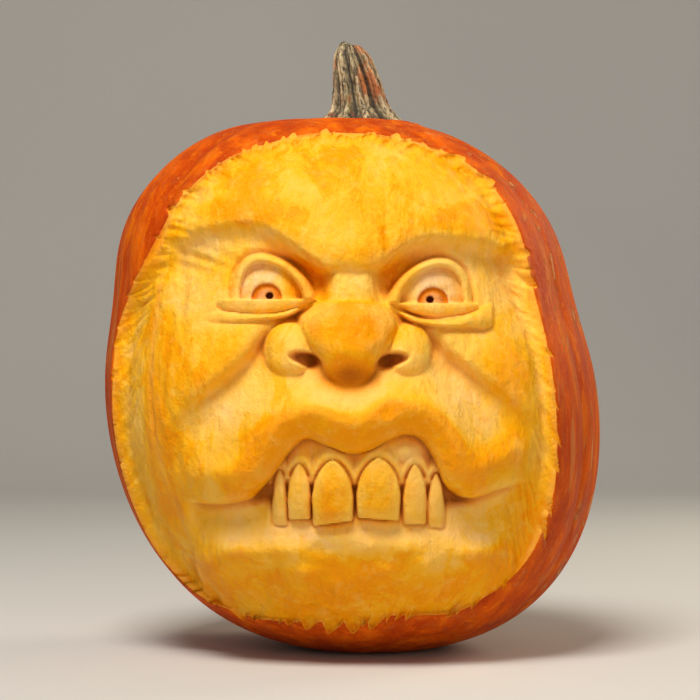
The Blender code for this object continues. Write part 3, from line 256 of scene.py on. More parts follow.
# Toward the foot of the patch the marks are longer, wider and more ragged; toward its top shallower.
FOOT_BEARING, FOOT_SPREAD, FOOT_MORE, FOOT_LONGER, FOOT_WIDER = -85, 50, 2.0, 14, 0.45
TOP_BEARING, TOP_SPREAD, TOP_MORE, TOP_SHALLOWER = 90, 60, 0.9, 0.4
FLAME_COUNT, FLAME_WIDTH, FLAME_REACH = 66, 6.0, 5.0
GOUGE_SEED = 4
PEEL_DEPTH, PEEL_REACH, LIP_OF_PEEL = 5.8, 11.0, 1.2
SCRAPE_COUNT, SCRAPE_SEED, SCRAPE_REACH = 220, 11, 40
SCRAPE_TILT, SCRAPE_LONG, SCRAPE_WIDE = 0.9, (9, 22), (2.4, 6.5)
SCRAPE_RISE, SCRAPE_MORE_ON_CHIN, CHIN_HEIGHTS = (-1.0, 0.45), 0.7, (92, 60)
SCRAPE_ACROSS, SCRAPE_UP, SCRAPE_FADE = (-112, 112), (18, 282), (2, 14)

# How the relief is cut into the fruit: where it starts, its least depth, and how it turns sideways.
FRONT_LIMIT, FLESH_EDGE, CUT_THROUGH, LEAST_CUT, LEAST_FACING = -0.1, (0, 2.5), 0.8, 1.2, 0.5
SIDEWAYS = (0.55, 0.95)


def smooth(low, high, x):
    """Zero to one between low and high, with soft ends."""
    t = np.clip((x - low) / (high - low), 0.0, 1.0)
    return t * t * (3.0 - 2.0 * t)


def mix(a, b, share):
    return a + (b - a) * share


def highest(a, b, blend):
    """The higher of two heights, rounded over where they meet."""
    d = np.clip(0.5 + 0.5 * (a - b) / blend, 0.0, 1.0)
    return b + (a - b) * d + 0.5 * blend * d * (1.0 - d)


def bell(x):
    return np.exp(-x * x)


def swell(x, z, middle_x, middle_z, reach_x, reach_z):
    return np.exp(-((x - middle_x) / reach_x) ** 2 - ((z - middle_z) / reach_z) ** 2)


def swollen(height, x, z, forms):
    """A height with soft swellings added, each (x, z, reach across, reach up, rise)."""
    for *place, rise in forms:
        height = height + rise * swell(x, z, *place)
    return height


def curve(x, points):
    """A smooth line through (x, y) points, flat beyond its ends."""
    px = np.array([point[0] for point in points], float)
    py = np.array([point[1] for point in points], float)
    slope = np.gradient(py, px)
    i = np.clip(np.searchsorted(px, x) - 1, 0, len(px) - 2)
    width = px[i + 1] - px[i]
    t = np.clip((x - px[i]) / width, 0.0, 1.0)
    t2, t3 = t * t, t * t * t
    return (
        (2 * t3 - 3 * t2 + 1) * py[i]
        + (t3 - 2 * t2 + t) * width * slope[i]
        + (3 * t2 - 2 * t3) * py[i + 1]
        + (t3 - t2) * width * slope[i + 1]
    )


def above(x, z, points, reach=45.0, step=2.5):
    """Distance of (x, z) above a face line, up to reach, without creases away from the line."""
    line_x = np.arange(points[0][0], points[-1][0] + step, step)
    line_z = curve(line_x, points)
    far = np.where(z > curve(x, points), reach, -reach)
    close = (z > line_z.min() - reach) & (z < line_z.max() + reach)
    xs, zs = x[close], z[close]
    best = np.full(xs.shape, reach * reach)
    blended = np.full(xs.shape, reach ** (-2 * LINE_BLUR))
    for i in range(len(line_x) - 1):
        ax, az = line_x[i], line_z[i]
        bx, bz = line_x[i + 1] - ax, line_z[i + 1] - az
        t = np.clip(((xs - ax) * bx + (zs - az) * bz) / (bx * bx + bz * bz), 0.0, 1.0)
        away = (xs - ax - t * bx) ** 2 + (zs - az - t * bz) ** 2
        best = np.minimum(best, away)
        blended = blended + np.maximum(away, 1.0) ** -LINE_BLUR
    best = np.sqrt(best)
    blended = np.minimum(LINE_SPREAD * blended ** (-0.5 / LINE_BLUR), reach)
    far[close] = mix(best, blended, smooth(*LINE_SHARP, best)) * np.sign(far[close])
    return far


def dome(x, z, middle_x, middle_z, reach_x, reach_z, top, rise):
    """A rounded boss: height top in its middle, falling by rise to its edge, then steeply."""
    across, up = np.abs((x - middle_x) / reach_x), np.abs((z - middle_z) / reach_z)
    r = (across**BOSS_POWER + up**BOSS_POWER) ** (1 / BOSS_POWER)
    round_over = 1.0 - np.sqrt(np.clip(1.0 - r**BOSS_POWER, 0.0, 1.0))
    return np.where(r < 1.0, top - rise * round_over, top - rise - BOSS_FALL * (r - 1.0))


def large_forms(x, z, inward):
    """Forehead, brow, sockets, cheeks, folds and muzzle."""
    side = np.abs(x)
    relief = -PEEL_DEPTH * smooth(PEEL_START, PEEL_REACH, inward)
    relief = relief - LIP_OF_PEEL * smooth(*LIP_OF_PEEL_EDGE, inward)
    relief = swollen(relief, x, z, FACE_SWELLS)
    below = -above(x, z, BROW)
    along_brow = smooth(*BROW_ENDS, side)
    relief = relief + BROW_RIDGE_RISE * bell((below + BROW_RIDGE_HALF) / BROW_RIDGE_HALF) * along_brow
    inner = bell((side - INNER_SOCKET_AT) / INNER_SOCKET_REACH)
    depth = SOCKET_DEPTH * along_brow + INNER_SOCKET_DEPTH * inner
    depth = swollen(depth, x, z, SOCKET_HOLLOWS)
    edge, edge_by_nose = smooth(*SOCKET_EDGE, below), smooth(*SOCKET_EDGE_BY_NOSE, below)
    edge = mix(edge, edge_by_nose, smooth(*EDGE_BY_NOSE, side))
    foot, foot_by_nose = smooth(*SOCKET_FOOT, below), smooth(*SOCKET_FOOT_BY_NOSE, below)
    foot = mix(foot, foot_by_nose, smooth(*FOOT_BY_NOSE, side))
    relief = relief - depth * edge * foot
    wave = np.sin(z * HAIR_UP + x * HAIR_ACROSS + HAIR_SWAY * np.sin(x * HAIR_SWAY_RATE))
    relief = relief - BROW_HAIRS[-1] * (0.5 + 0.5 * wave) * swell(x, z, *BROW_HAIRS[:-1])
    past_fold = -above(x, z, FOLD)
    muzzle = MUZZLE_LEVEL - PHILTRUM_DEPTH * bell((x - PHILTRUM_X) / PHILTRUM_HALF)
    muzzle = swollen(muzzle, side, z, (MUZZLE_CHEEKS,))
    muzzle = swollen(muzzle, x, z, (UNDER_NOSE,))
    relief = mix(relief, muzzle, smooth(*FOLD_EDGE, past_fold) * smooth(*FOLD_ENDS, side))
    across = bell(past_fold / np.where(past_fold < 0, FOLD_HALF_OUTSIDE, FOLD_HALF_INSIDE))
    return relief - curve(side, FOLD_VALLEY) * across * smooth(*FOLD_TOP, z)


def mouth(x, z, relief):
    """Upper lip, lower face, gums and teeth."""
    side = np.abs(x - MOUTH_MIDDLE)
    over = above(x, z, LIP_EDGE)
    lip = mix(curve(over, LIP_ROLL), curve(over, LIP_CREST), smooth(*CREST_ENDS, side))
    lip = lip - bell(x / LIP_DIP_HALF) * smooth(*LIP_DIP_RANGE, over)
    opening = smooth(*MOUTH_ENDS, side)
    upper = mix(relief, lip, smooth(*LIP_FADE, over) * opening)
    arc = z + CHIN_ARC * np.minimum(side, CHIN_ARC_END) ** 2
    lower = mix(curve(arc, CHIN_MIDDLE), curve(arc, CHIN_SIDE), smooth(*CHIN_SIDE_RANGE, side))
    lower = mix(relief, swollen(lower, x, z, CHIN_SWELLS), opening)
    crease = CREASE_DEPTH * bell((over + CREASE_PLACE) / CREASE_HALF)
    lower = lower - crease * smooth(*CREASE_START, side) * smooth(*CREASE_END, side)
    relief = mix(relief, mix(lower, upper, smooth(*LIP_STEP, over)), smooth(*MOUTH_FADE, side))
    relief = swollen(relief, x, z, MOUTH_CORNERS)

    inside = smooth(*TEETH_ENDS, np.abs(x - TEETH_MIDDLE)) * smooth(*UNDER_LIP, over)
    level = GUM_LEVEL - GUM_FALL * np.clip(side - GUM_FLAT, 0, None)
    gum = swollen(level, x, z, (GUM_LUMP,))
    for middle, half, top, bottom, _, _ in TEETH:
        ring = np.hypot((x - middle) / (half + GUM_ASIDE), (z - bottom) / (top - bottom + GUM_OVER))
        gum = np.maximum(gum, level + GUM_RISE * bell((ring - GUM_RING) / GUM_RING_HALF))
    relief = mix(relief, gum, smooth(GUM_FOOT - GUM_EDGE, GUM_FOOT + GUM_EDGE, z) * inside)
    for middle, half, top, bottom, level, slant in TEETH:
        share = (z - bottom) / (top - bottom)
        round_over, pointed = TOOTH_ARCH_POWERS
        climb = np.clip((share - TOOTH_ARCH_START) / TOOTH_ARCH_LENGTH, 0, 1)
        arch = np.clip(1 - climb**round_over, 0, 1) ** pointed
        width = half * (1 - TOOTH_TAPER * smooth(TOOTH_TAPER_END, 0, share)) * arch
        flank = (width - np.abs(x - middle)) * np.where(share > TOOTH_HALFWAY, TOOTH_ARCH_SLOPE, 1.0)
        foot = z - bottom - slant * (x - middle)
        corner = (flank + foot) * TOOTH_CORNER_SLOPE - TOOTH_CORNER
        within = np.minimum(np.minimum(flank, foot), corner)
        within = np.where(share > TOOTH_OVER, TOOTH_OUTSIDE, within)
        across = np.abs(x - middle) / half
        face = level - TOOTH_ROUNDING * across**TOOTH_ROUNDING_POWER
        face = face - TOOTH_ROOT_FALL * smooth(*TOOTH_ROOT, share)
        face = face - TOOTH_TIP_FALL * smooth(*TOOTH_TIP, share)
        relief = relief - TOOTH_GROOVE * smooth(*TOOTH_GROOVE_EDGE, within) * inside
        relief = mix(relief, face, smooth(*TOOTH_EDGE, within))
    return relief


def nose(x, z, relief):
    """Bridge, bulb, wings and nostrils."""
    bridge = curve(z, BRIDGE_FRONT) - BRIDGE_DROP * smooth(*BRIDGE_EDGE, np.abs(x) - curve(z, BRIDGE_HALF))
    on_bridge = (z > BRIDGE_FOOT) & (z < BRIDGE_TOP)
    relief = np.where(on_bridge, highest(relief, bridge, BRIDGE_BLEND), relief)
    for middle_x, middle_z, reach_x, reach_z, top in WINGS:
        wing = dome(x, z, middle_x, middle_z, reach_x, reach_z, top, WING_ROUNDING)
        relief = highest(relief, wing, WING_BLEND)
    off = np.abs(x - NOSE_MIDDLE) / np.maximum(curve(z, NOSE_HALF), 1.0)
    round_over = 1.0 - np.sqrt(np.clip(1.0 - off**NOSE_SQUARENESS, 0.0, 1.0))
    front = curve(z, NOSE_FRONT) - NOSE_ROUNDING * round_over - NOSE_DROP_ASIDE * np.clip(off - 1, 0, 1)
    front = front - NOSE_DROP * np.clip(NOSE_HALF[0][0] - z, 0, NOSE_DROP_REACH)
    front = front - NOSE_DROP * np.clip(z - NOSE_HALF[-1][0], 0, NOSE_DROP_REACH)
    relief = highest(relief, front, NOSE_BLEND)
    for middle_x, middle_z, tilt, half in NOSTRILS:
        off = (x - middle_x) / half
        up = z - middle_z - tilt * (x - middle_x)
        toward_bulb = off * np.sign(NOSE_MIDDLE - middle_x)
        low = NOSTRIL_LOW + NOSTRIL_LOWER * np.clip(toward_bulb + NOSTRIL_LOWER_FROM, 0, 1)
        away = np.sqrt(off * off + (up / np.where(up > 0, NOSTRIL_HIGH, low)) ** 2)
        relief = relief - NOSTRIL_DEPTH * smooth(*NOSTRIL_WALL, away) * smooth(*NOSTRIL_SLOPE, up)
    return relief


def lid_arch(x, z, eye, grow_side, grow_up):
    """Below one inside the arch of an upper lid, above one outside."""
    side, _, _, peak, outer, inner, foot, high = eye
    off = (x - peak) * side
    reach = np.where(off > 0, outer + grow_side, inner + grow_side * LID_INNER_GROWTH)
    power = np.where(off > 0, *LID_POWERS)
    up = np.clip(z - foot, 0, None) / (high + grow_up)
    return (np.abs(off / reach) ** power + up**power) ** (1 / power)


def strip(x, z, top, foot, soft):
    """Place across a strip, -1 at its foot to 1 at its top, and a soft mask of it."""
    high, low = curve(x, top), curve(x, foot)
    half = np.maximum((high - low) / 2, STRIP_LEAST)
    place = (z - (high + low) / 2) / half
    return place, smooth(1.0 + soft / half, 1.0 - soft / half, np.abs(place))


def eyes(x, z, relief):
    """Balls, lids, shelves and pouches."""
    for number, eye in enumerate(EYES):
        side, pupil_x, pupil_z, peak, _, _, foot, _ = eye
        over = smooth(-LID_FOOT_EDGE, LID_FOOT_EDGE, z - foot)
        inner_arch, outer_arch = lid_arch(x, z, eye, 0, 0), lid_arch(x, z, eye, *LID_THICKNESS)
        relief = relief - LID_CREASE * bell((outer_arch - LID_CREASE_AT) / LID_CREASE_HALF) * over
        inward = np.clip(inner_arch - 1, 0, None) * LID_INNER_SIZE
        outward = np.clip(1 - outer_arch, 0, None) * LID_OUTER_SIZE
        across = inward / (inward + outward + TINY)
        toward_temple = (x - peak) * side
        lid = LID_LEVEL + LID_ROLL * np.sqrt(np.clip(4 * across * (1 - across), 0, 1))
        lid = lid - LID_TEMPLE_FALL * np.clip(toward_temple, 0, None) ** LID_TEMPLE_POWER
        lid = lid - LID_NOSE_FALL * smooth(0, EYE_REACH, -toward_temple)
        relief = mix(relief, lid, smooth(*LID_EDGE, outer_arch) * over)
        middle = (x - pupil_x - side * BALL_SHIFT[0]) ** 2 + (z - pupil_z - BALL_SHIFT[1]) ** 2
        ball = BALL_LEVEL - (BALL_RADIUS - np.sqrt(np.clip(BALL_RADIUS**2 - middle, 1, None)))
        hub = np.hypot(x - pupil_x - side * IRIS_SHIFT[0], z - pupil_z + IRIS_SHIFT[1])
        ball = ball - smooth(*IRIS_EDGE, hub) * (IRIS_DEPTH - IRIS_RISE * smooth(*IRIS_HUB, hub))
        ball = ball - PUPIL_DEPTH * smooth(*PUPIL_EDGE, np.hypot(x - pupil_x, z - pupil_z))
        relief = mix(relief, ball, smooth(*BALL_EDGE, inner_arch) * over)

        ends = [point[0] for point in SHELF_FOOT[number]]
        top = foot + SHELF_OVERLAP
        place, on = strip(x, z, ((ends[0], top), (ends[-1], top)), SHELF_FOOT[number], SHELF_SOFT)
        on = on * smooth(*SHELF_END, x - ends[0]) * smooth(*SHELF_END, ends[-1] - x)
        run = np.clip((x - peak) * side / EYE_REACH, *EYE_RUN)
        toward_nose = np.clip(-run, 0, 2)
        shelf = SHELF_LEVEL + SHELF_TILT * place
        shelf = shelf - SHELF_ROUNDING * np.clip(-place, 0, 1) ** SHELF_POWER
        shelf = shelf - SHELF_NOSE_FALL * toward_nose
        pouch_ends = (POUCH_FOOT[number][0][0], POUCH_FOOT[number][-1][0])
        pouch_place, pouch_on = strip(x, z, POUCH_TOP[number], POUCH_FOOT[number], POUCH_SOFT)
        outer_soft, inner_soft = POUCH_ENDS[number]
        pouch_on = pouch_on * smooth(0, inner_soft if side > 0 else outer_soft, x - pouch_ends[0])
        pouch_on = pouch_on * smooth(0, outer_soft if side > 0 else inner_soft, pouch_ends[1] - x)
        swelling = POUCH_SWELLING + POUCH_MORE[number] * (1 + run)
        pouch = POUCH_LEVEL + swelling * np.sqrt(np.clip(1 - pouch_place**2, 0, 1))
        pouch = pouch - POUCH_NOSE_FALL * toward_nose
        crease = POUCH_CREASE * bell((pouch_place + 1) * POUCH_CREASE_SHARPNESS)
        crease = crease * (pouch_place < POUCH_CREASE_TOP)
        crease = crease * smooth(0, CREASE_FADE, x - pouch_ends[0])
        crease = crease * smooth(0, CREASE_FADE, pouch_ends[1] - x)
        relief = relief - crease
        relief = mix(relief, pouch, pouch_on)
        relief = mix(relief, shelf, on)
    return relief


def scrapes(x, z, inward):
    """Shallow knife facets over the bare flesh."""
    draw = np.random.default_rng(SCRAPE_SEED)
    relief = np.zeros(x.shape)
    for _ in range(SCRAPE_COUNT):
        middle_x, middle_z = draw.uniform(*SCRAPE_ACROSS), draw.uniform(*SCRAPE_UP)
        tilt = draw.uniform(-SCRAPE_TILT, SCRAPE_TILT)
        long, wide = draw.uniform(*SCRAPE_LONG), draw.uniform(*SCRAPE_WIDE)
        on_chin = float(smooth(*CHIN_HEIGHTS, middle_z))
        deep = draw.uniform(*SCRAPE_RISE) * (1 + SCRAPE_MORE_ON_CHIN * on_chin)
        close = (np.abs(x - middle_x) < SCRAPE_REACH) & (np.abs(z - middle_z) < SCRAPE_REACH)
        ahead = (z[close] - middle_z) * math.cos(tilt) + (x[close] - middle_x) * math.sin(tilt)
        aside = (x[close] - middle_x) * math.cos(tilt) - (z[close] - middle_z) * math.sin(tilt)
        relief[close] += deep * np.exp(-(ahead / long) ** 2 - (aside / wide) ** 4)
    return relief * smooth(*SCRAPE_FADE, inward)


def patch_place(x, y, z):
    """Distance inside the smooth edge of the carved patch, and the bearing round it in degrees."""
    w = z - MID_HEIGHT
    size = np.sqrt(x * x + y * y + w * w) + TINIER
    ahead = (x * math.sin(PATCH_AXIS) - y * math.cos(PATCH_AXIS)) / size
    across = (x * math.cos(PATCH_AXIS) + y * math.sin(PATCH_AXIS)) / size
    angle = np.degrees(np.arccos(np.clip(ahead, -1, 1)))
    bearing = np.degrees(np.arctan2(w / size, across))
    return (curve(bearing, PATCH_EDGE) - angle) * ARC_PER_DEGREE, bearing


def gouge_marks(inward, bearing, count, spread, flame):
    """Depth of one set of gouge marks; flame is how far the longest run out over the rind."""
    draw = np.random.default_rng(GOUGE_SEED + count)
    cut = np.zeros(inward.shape)
    for i in range(count):
        turn = -180 + 360 * (i + draw.uniform(-GOUGE_SHUFFLE, GOUGE_SHUFFLE)) / count
        toward_foot = float(bell((turn - FOOT_BEARING) / FOOT_SPREAD))
        toward_top = float(bell((turn - TOP_BEARING) / TOP_SPREAD))
        out = flame * draw.uniform(*GOUGE_OUT) * (1 + FOOT_MORE * toward_foot + TOP_MORE * toward_top)
        length = draw.uniform(*GOUGE_LENGTH) + FOOT_LONGER * toward_foot
        wide = spread * draw.uniform(*GOUGE_SPREAD) * (1 + FOOT_WIDER * toward_foot)
        slant = float(curve(np.array([turn]), GOUGE_SLANT)[0]) + draw.uniform(-GOUGE_STRAY, GOUGE_STRAY)
        deep = draw.uniform(*GOUGE_DEPTH) - TOP_SHALLOWER * toward_top
        off = (bearing - turn + 180) % 360 - 180
        close = np.abs(off) < GOUGE_WINDOW
        run = inward[close] + out
        lateral = np.radians(off[close]) * PATCH_RADIUS - slant * run
        opened = np.clip(run / (GOUGE_TIP * flame + GOUGE_TIP_MORE) / (1 + toward_foot), 0, 1)
        width = wide * opened**GOUGE_TIP_POWER + GOUGE_LEAST_WIDTH
        across = np.clip(1 - (lateral / width) ** 2, 0, 1)
        fade = smooth(*GOUGE_START, run) * smooth(length, length * GOUGE_END, run)
        mark_here = np.minimum(deep, GOUGE_STEEPNESS * width) * across * fade
        cut[close] = np.maximum(cut[close], mark_here)
    return cut


def gouges(inward, bearing):
    """Depth of the gouge marks that run in from the ragged edge of the patch."""
    cut = np.zeros(inward.shape)
    ring = (inward > PATCH_RING[0]) & (inward < PATCH_RING[1])
    flames = gouge_marks(inward[ring], bearing[ring], FLAME_COUNT, FLAME_WIDTH, FLAME_REACH)
    fine = gouge_marks(inward[ring], bearing[ring], GOUGE_COUNT, GOUGE_WIDTH, GOUGE_REACH)
    cut[ring] = np.maximum(fine, flames)
    return cut


def waist(turn, z):
    """The narrowing under the shoulders, less at the back."""
    full = WAIST_AT_BACK + (1 - WAIST_AT_BACK) * smooth(*WAIST_FADE, np.cos(turn))
    return 1 - WAIST_DEPTH * bell((z - WAIST_HEIGHT) / WAIST_REACH) * full


def rib_scale(turn, z):
    """Radius of the ribbed fruit as a share of the smooth one; turn is the angle from the front."""
    wave = np.abs(np.sin(RIB_COUNT / 2 * (turn - FIRST_FURROW)))
    furrow = (1 - wave) ** FURROW_SHARPNESS
    depth = mix(FURROW_DEPTH, FURROW_DEPTH_AT_TOP, smooth(*SHOULDER_HEIGHTS, z))
    depth = depth * smooth(*FOOT_HEIGHTS, z)
    sway = PLEAT_SWAY * np.sin(z / PLEAT_SWAY_HEIGHT) + PLEAT_UNEVENNESS * np.sin(PLEAT_WAVES * turn)
    pleats = 0.5 - 0.5 * np.cos(PLEAT_COUNT * turn + sway)
    beside = smooth(*PLEAT_SIDES, np.cos(turn)) * smooth(*PLEAT_FOOT, z) * smooth(*PLEAT_TOP, z)
    return 1 - depth * furrow - PLEAT_DEPTH * pleats * beside


def fruit_point(turn, rise):
    """Radius, height, rib scale and lean for an angle from the front and a rise from foot to top."""
    up, out = np.sin(rise), np.cos(rise)
    reach = (np.abs(up) ** SECTION_POWER + np.abs(out) ** SECTION_POWER) ** (-1 / SECTION_POWER)
    z = MID_HEIGHT + HALF_HEIGHT * up * reach
    radius = HALF_WIDTH * out * reach * waist(turn, z)
    top = smooth(*CROWN_HEIGHTS, z)
    shoulder = SHOULDER_RISE * bell((radius - SHOULDER_RADIUS) / SHOULDER_REACH)
    z_shaped = z + top * (shoulder - DIMPLE_DEPTH * smooth(DIMPLE_RIM, DIMPLE_FLOOR, radius))
    scale = mix(1.0, rib_scale(turn, z), smooth(*RIBS_START, radius))
    lean = mix(LEAN * (z - LEAN_PIVOT), STALK_MIDDLE[0][1], top * smooth(*LEAN_TO_STALK, radius))
    return radius, np.maximum(z_shaped, 0.0), scale, lean


def carved_fruit(turn, rise):
    """Points of the carved fruit in millimetres and the depth of each below the whole fruit's skin."""
    radius, z, scale, lean = fruit_point(turn, rise)
    x, y = radius * np.sin(turn) + lean, -radius * np.cos(turn)
    skin_x, skin_y = radius * scale * np.sin(turn) + lean, -radius * scale * np.cos(turn)
    depth = np.zeros(x.shape)
    front = np.cos(turn) > FRONT_LIMIT
    fx, fy, fz = x[front], y[front], z[front]
    inward, bearing = patch_place(fx, fy, fz)
    near = inward > PATCH_RING[0]
    fx, fz, inward, bearing = fx[near], fz[near], inward[near], bearing[near]
    relief = large_forms(fx, fz, inward) + scrapes(fx, fz, inward)
    relief = eyes(fx, fz, nose(fx, fz, mouth(fx, fz, relief)))
    cut = gouges(inward, bearing)
    relief = relief - cut * smooth(*GOUGE_FADE, inward)
    within = np.maximum(smooth(*FLESH_EDGE, inward), np.clip(cut / CUT_THROUGH, 0, 1))
    index = np.flatnonzero(front)[near]
    turn_here, radius_here = turn[index], radius[index]
    rib_cut = (1 - scale[index]) * radius_here / np.maximum(np.cos(turn_here), LEAST_FACING)
    sunk = np.maximum(-relief, rib_cut + LEAST_CUT)
    sideways = smooth(*SIDEWAYS, np.abs(np.sin(turn_here)))
    step_x = -sideways * np.sin(turn_here)
    step_y = (1 - sideways) + sideways * np.cos(turn_here)
    length = np.hypot(step_x, step_y)
    skin_x[index] = mix(skin_x[index], x[index] + sunk * step_x / length, within)
    skin_y[index] = mix(skin_y[index], y[index] + sunk * step_y / length, within)
    depth[index] = (sunk - rib_cut) * within
    return np.stack([skin_x, skin_y, z], -1), depth


def dimple_floor():
    """Height of the fruit under the middle of the stalk."""
    return float(fruit_point(np.array([0.0]), np.array([math.pi / 2]))[1][0])


def stalk_grooves(angle, z):
    """Coarse and fine grooves round the stalk, each one at its deepest and zero on the ridges."""
    coarse = (1 - np.abs(np.sin(STALK_RIDGES / 2 * angle + STALK_PHASE))) ** STALK_SHARPNESS
    sway = STALK_FINE_SWAY * np.sin(z * STALK_FINE_SWAY_RATE)
    fine = (1 - np.abs(np.sin(STALK_FINE_RIDGES / 2 * angle + sway))) ** STALK_FINE_SHARPNESS
    return coarse, fine


def stalk(turn, rise):
    """Points of the stalk in millimetres; rise runs from its flat foot (-90 degrees) to its tip."""
    share = rise / math.pi + 0.5
    foot_z, tip_z = dimple_floor() + STALK_GAP, STALK_HALF[-1][0]
    climb = np.clip((share - STALK_FOOT_SHARE) / (1 - STALK_FOOT_SHARE - STALK_TIP_SHARE), 0, 1)
    z = foot_z + (tip_z - foot_z) * climb
    half = curve(z, STALK_HALF)
    half = half * np.clip(share / STALK_FOOT_SHARE, 0, 1) * np.clip((1 - share) / STALK_TIP_SHARE, 0, 1)
    angle = turn + STALK_TWIST * (z - foot_z)
    coarse, fine = stalk_grooves(angle, z)
    uneven = 0.0
    for depth, count, phase, rate in STALK_WAVES:
        uneven = uneven + depth * np.sin(count * angle + phase + rate * z)
    knots = KNOT_DEPTH * np.sin(z * KNOT_RATE + KNOT_LEAN * angle) * np.sin(KNOT_COUNT * angle + KNOT_PHASE)
    knots = knots + FINE_KNOT_DEPTH * np.sin(z * FINE_KNOT_RATE + FINE_KNOT_LEAN * angle)
    half = half * (1 - STALK_RIDGE_DEPTH * coarse + (knots - STALK_FINE_DEPTH * fine) + uneven)
    x = curve(z, STALK_MIDDLE) + half * np.sin(turn)
    y = -half * np.cos(turn)
    knob_x, knob_reach, knob_rise = STALK_KNOB
    knob = knob_rise * bell((x - knob_x) / knob_reach) * bell(y / knob_reach)
    knob = knob * smooth(tip_z - STALK_KNOB_REACH, tip_z, z)
    return np.stack([x, y, z + knob + STALK_TIP_RISE * (share > STALK_TIP_FROM)], -1)


# Mesh detail of the pieces.
FACE_FOCUS, ROW_FOCUS = 0.55, 0.35
SMOOTH_LEVELS = 2

# Patches of flesh that show more amber or paler than their depth gives, as (x, z, reach x, reach z, amount):
# the amount is in millimetres of depth, above zero toward pale flesh and below zero toward amber. Most are
# the flesh's own uneven colour; some are painted shade, amber under the nose tip and in the hollows beside
# the nose bridge, and some painted highlight, pale on the two chin bumps.
TONE_AND_SHADE_PATCHES = (
    (-1.5, 178, 25, 14, -7.0), (-1, 156, 14, 11, -8.0), (-9.5, 90, 9, 16, -4.5),
    (13.5, 92, 10, 14, -2.5), (-94, 164, 10, 24, -3.5), (-97, 98, 10, 30, -5.5), (86, 158, 9, 18, -3.5),
    (84, 120, 9, 22, -4.5), (94, 88, 10, 24, -5.5), (-104, 130, 6, 20, -4.0), (-70, 158, 10, 20, -2.5),
    (72, 156, 9, 18, -2.5), (-48, 241, 22, 7, -4.5), (-72, 243, 12, 5, -3.5), (-60, 262, 18, 9, -3.0),
    (74, 237, 14, 7, -4.5), (48, 236, 18, 6, -3.5), (40, 258, 18, 12, -3.0), (-12, 268, 16, 9, -3.0),
    (-8, 34, 34, 12, -4.5), (44, 42, 22, 12, -3.5), (-52, 44, 20, 14, -3.0), (2, 52, 15, 8, -3.5),
    (-76, 72, 9, 18, -3.0), (80, 72, 9, 18, -3.0), (-27, 207, 12, 11, -9.0), (24, 208, 11, 10, -9.0),
    (-20, 193, 8, 8, -5.0), (22, 191, 8, 8, -5.0), (-117, 150, 9, 34, 3.0), (106, 150, 10, 40, 3.0),
    (-78, 224, 20, 6, 4.0), (-50, 229, 15, 4, 4.0), (62, 214, 18, 10, 2.5), (-90, 196, 18, 10, 3.0),
    (-47, 203, 13, 11, 10.0), (44, 201, 13, 11, 10.0), (0, 70, 62, 8, 6.5), (-46, 60, 24, 9, 4.0),
    (50, 60, 22, 9, 4.0), (0, 202, 12, 9, 5.5), (0, 142, 26, 7, 5.0), (-58, 136, 20, 12, 5.0),
    (58, 134, 18, 12, 5.0), (-31, 168, 9, 10, 4.0), (28, 168, 9, 10, 4.0), (-60, 66, 12, 6, 6.0),
    (65, 66, 12, 6, 6.0), (-70, 98, 18, 8, 2.5), (78, 99, 10, 6, 2.5), (28, 114, 9, 6, 5.0),
)
TONE_RANGE, TONE_REACH, TONE_PATCHES_FROM = 15.5, 8.8, (2.0, 5.0)
# Painted amber never goes redder than flesh this many millimetres below the rind.
LEAST_TONE = 2.0
# The amber band along the upper lip: where it ends above, below and at its sides, and its amount.
LIP_BAND_TOP, LIP_BAND_FOOT, LIP_BAND_ENDS, LIP_AMBER = (17.2, 14.8), (-0.5, 1.5), (76, 64), -7.5
# Cells that the depth of the face is averaged in, to find what is hollow for the painted shade.
CAVITY_HALF, CAVITY_TOP, CAVITY_CELL, CAVITY_PASSES = 150.0, 300.0, 1.0, 34
CAVITY_LEAST, LAST_CELL = 0.02, 1.001
# Painted shade added at some hollows (under the nose tip, the mouth corners, the nostrils) and, below zero,
# taken off at others (beside the nose bridge, under the lower lids), as (x, z, reach x, reach z, mm).
PAINTED_SHADE_SPOTS = (
    (-1, 155, 15, 8, 7.0), (-45, 93, 8, 6, 4.5), (52, 92, 9, 6, 4.5), (-27, 205, 10, 9, -3.5),
    (25, 206, 10, 9, -3.5), (-20, 190, 8, 6, -3.0), (21, 189, 8, 6, -3.0),
    (-22, 161, 7, 4, 2.5), (20, 161, 7, 4, 2.5),
)
# Corky scars: a few everywhere, more along the right of the face (bearing, reach, amount) and in a patch
# at its left (bearing, height, reach round, reach up, amount).
CORK_LEAST, CORK_RIGHT, CORK_LEFT = 0.12, (82, 24, 0.85), (-84, 175, 9, 30, 1.5)
# How strongly the ribs and the grooves of the stem are marked for the materials; the stem's groove mark
# paints shade into its grooves.
FURROW_MARK, GROOVE_MARK, FINE_GROOVE_MARK = 24, 0.75, 0.62


def from_screen(red, green, blue):
    """A colour given as it shows on screen, 0 to 255, in Blender's own light values."""
    def light(value):
        value = value / 255
        return value / 12.92 if value <= 0.04045 else ((value + 0.055) / 1.055) ** 2.4
    return (light(red), light(green), light(blue))


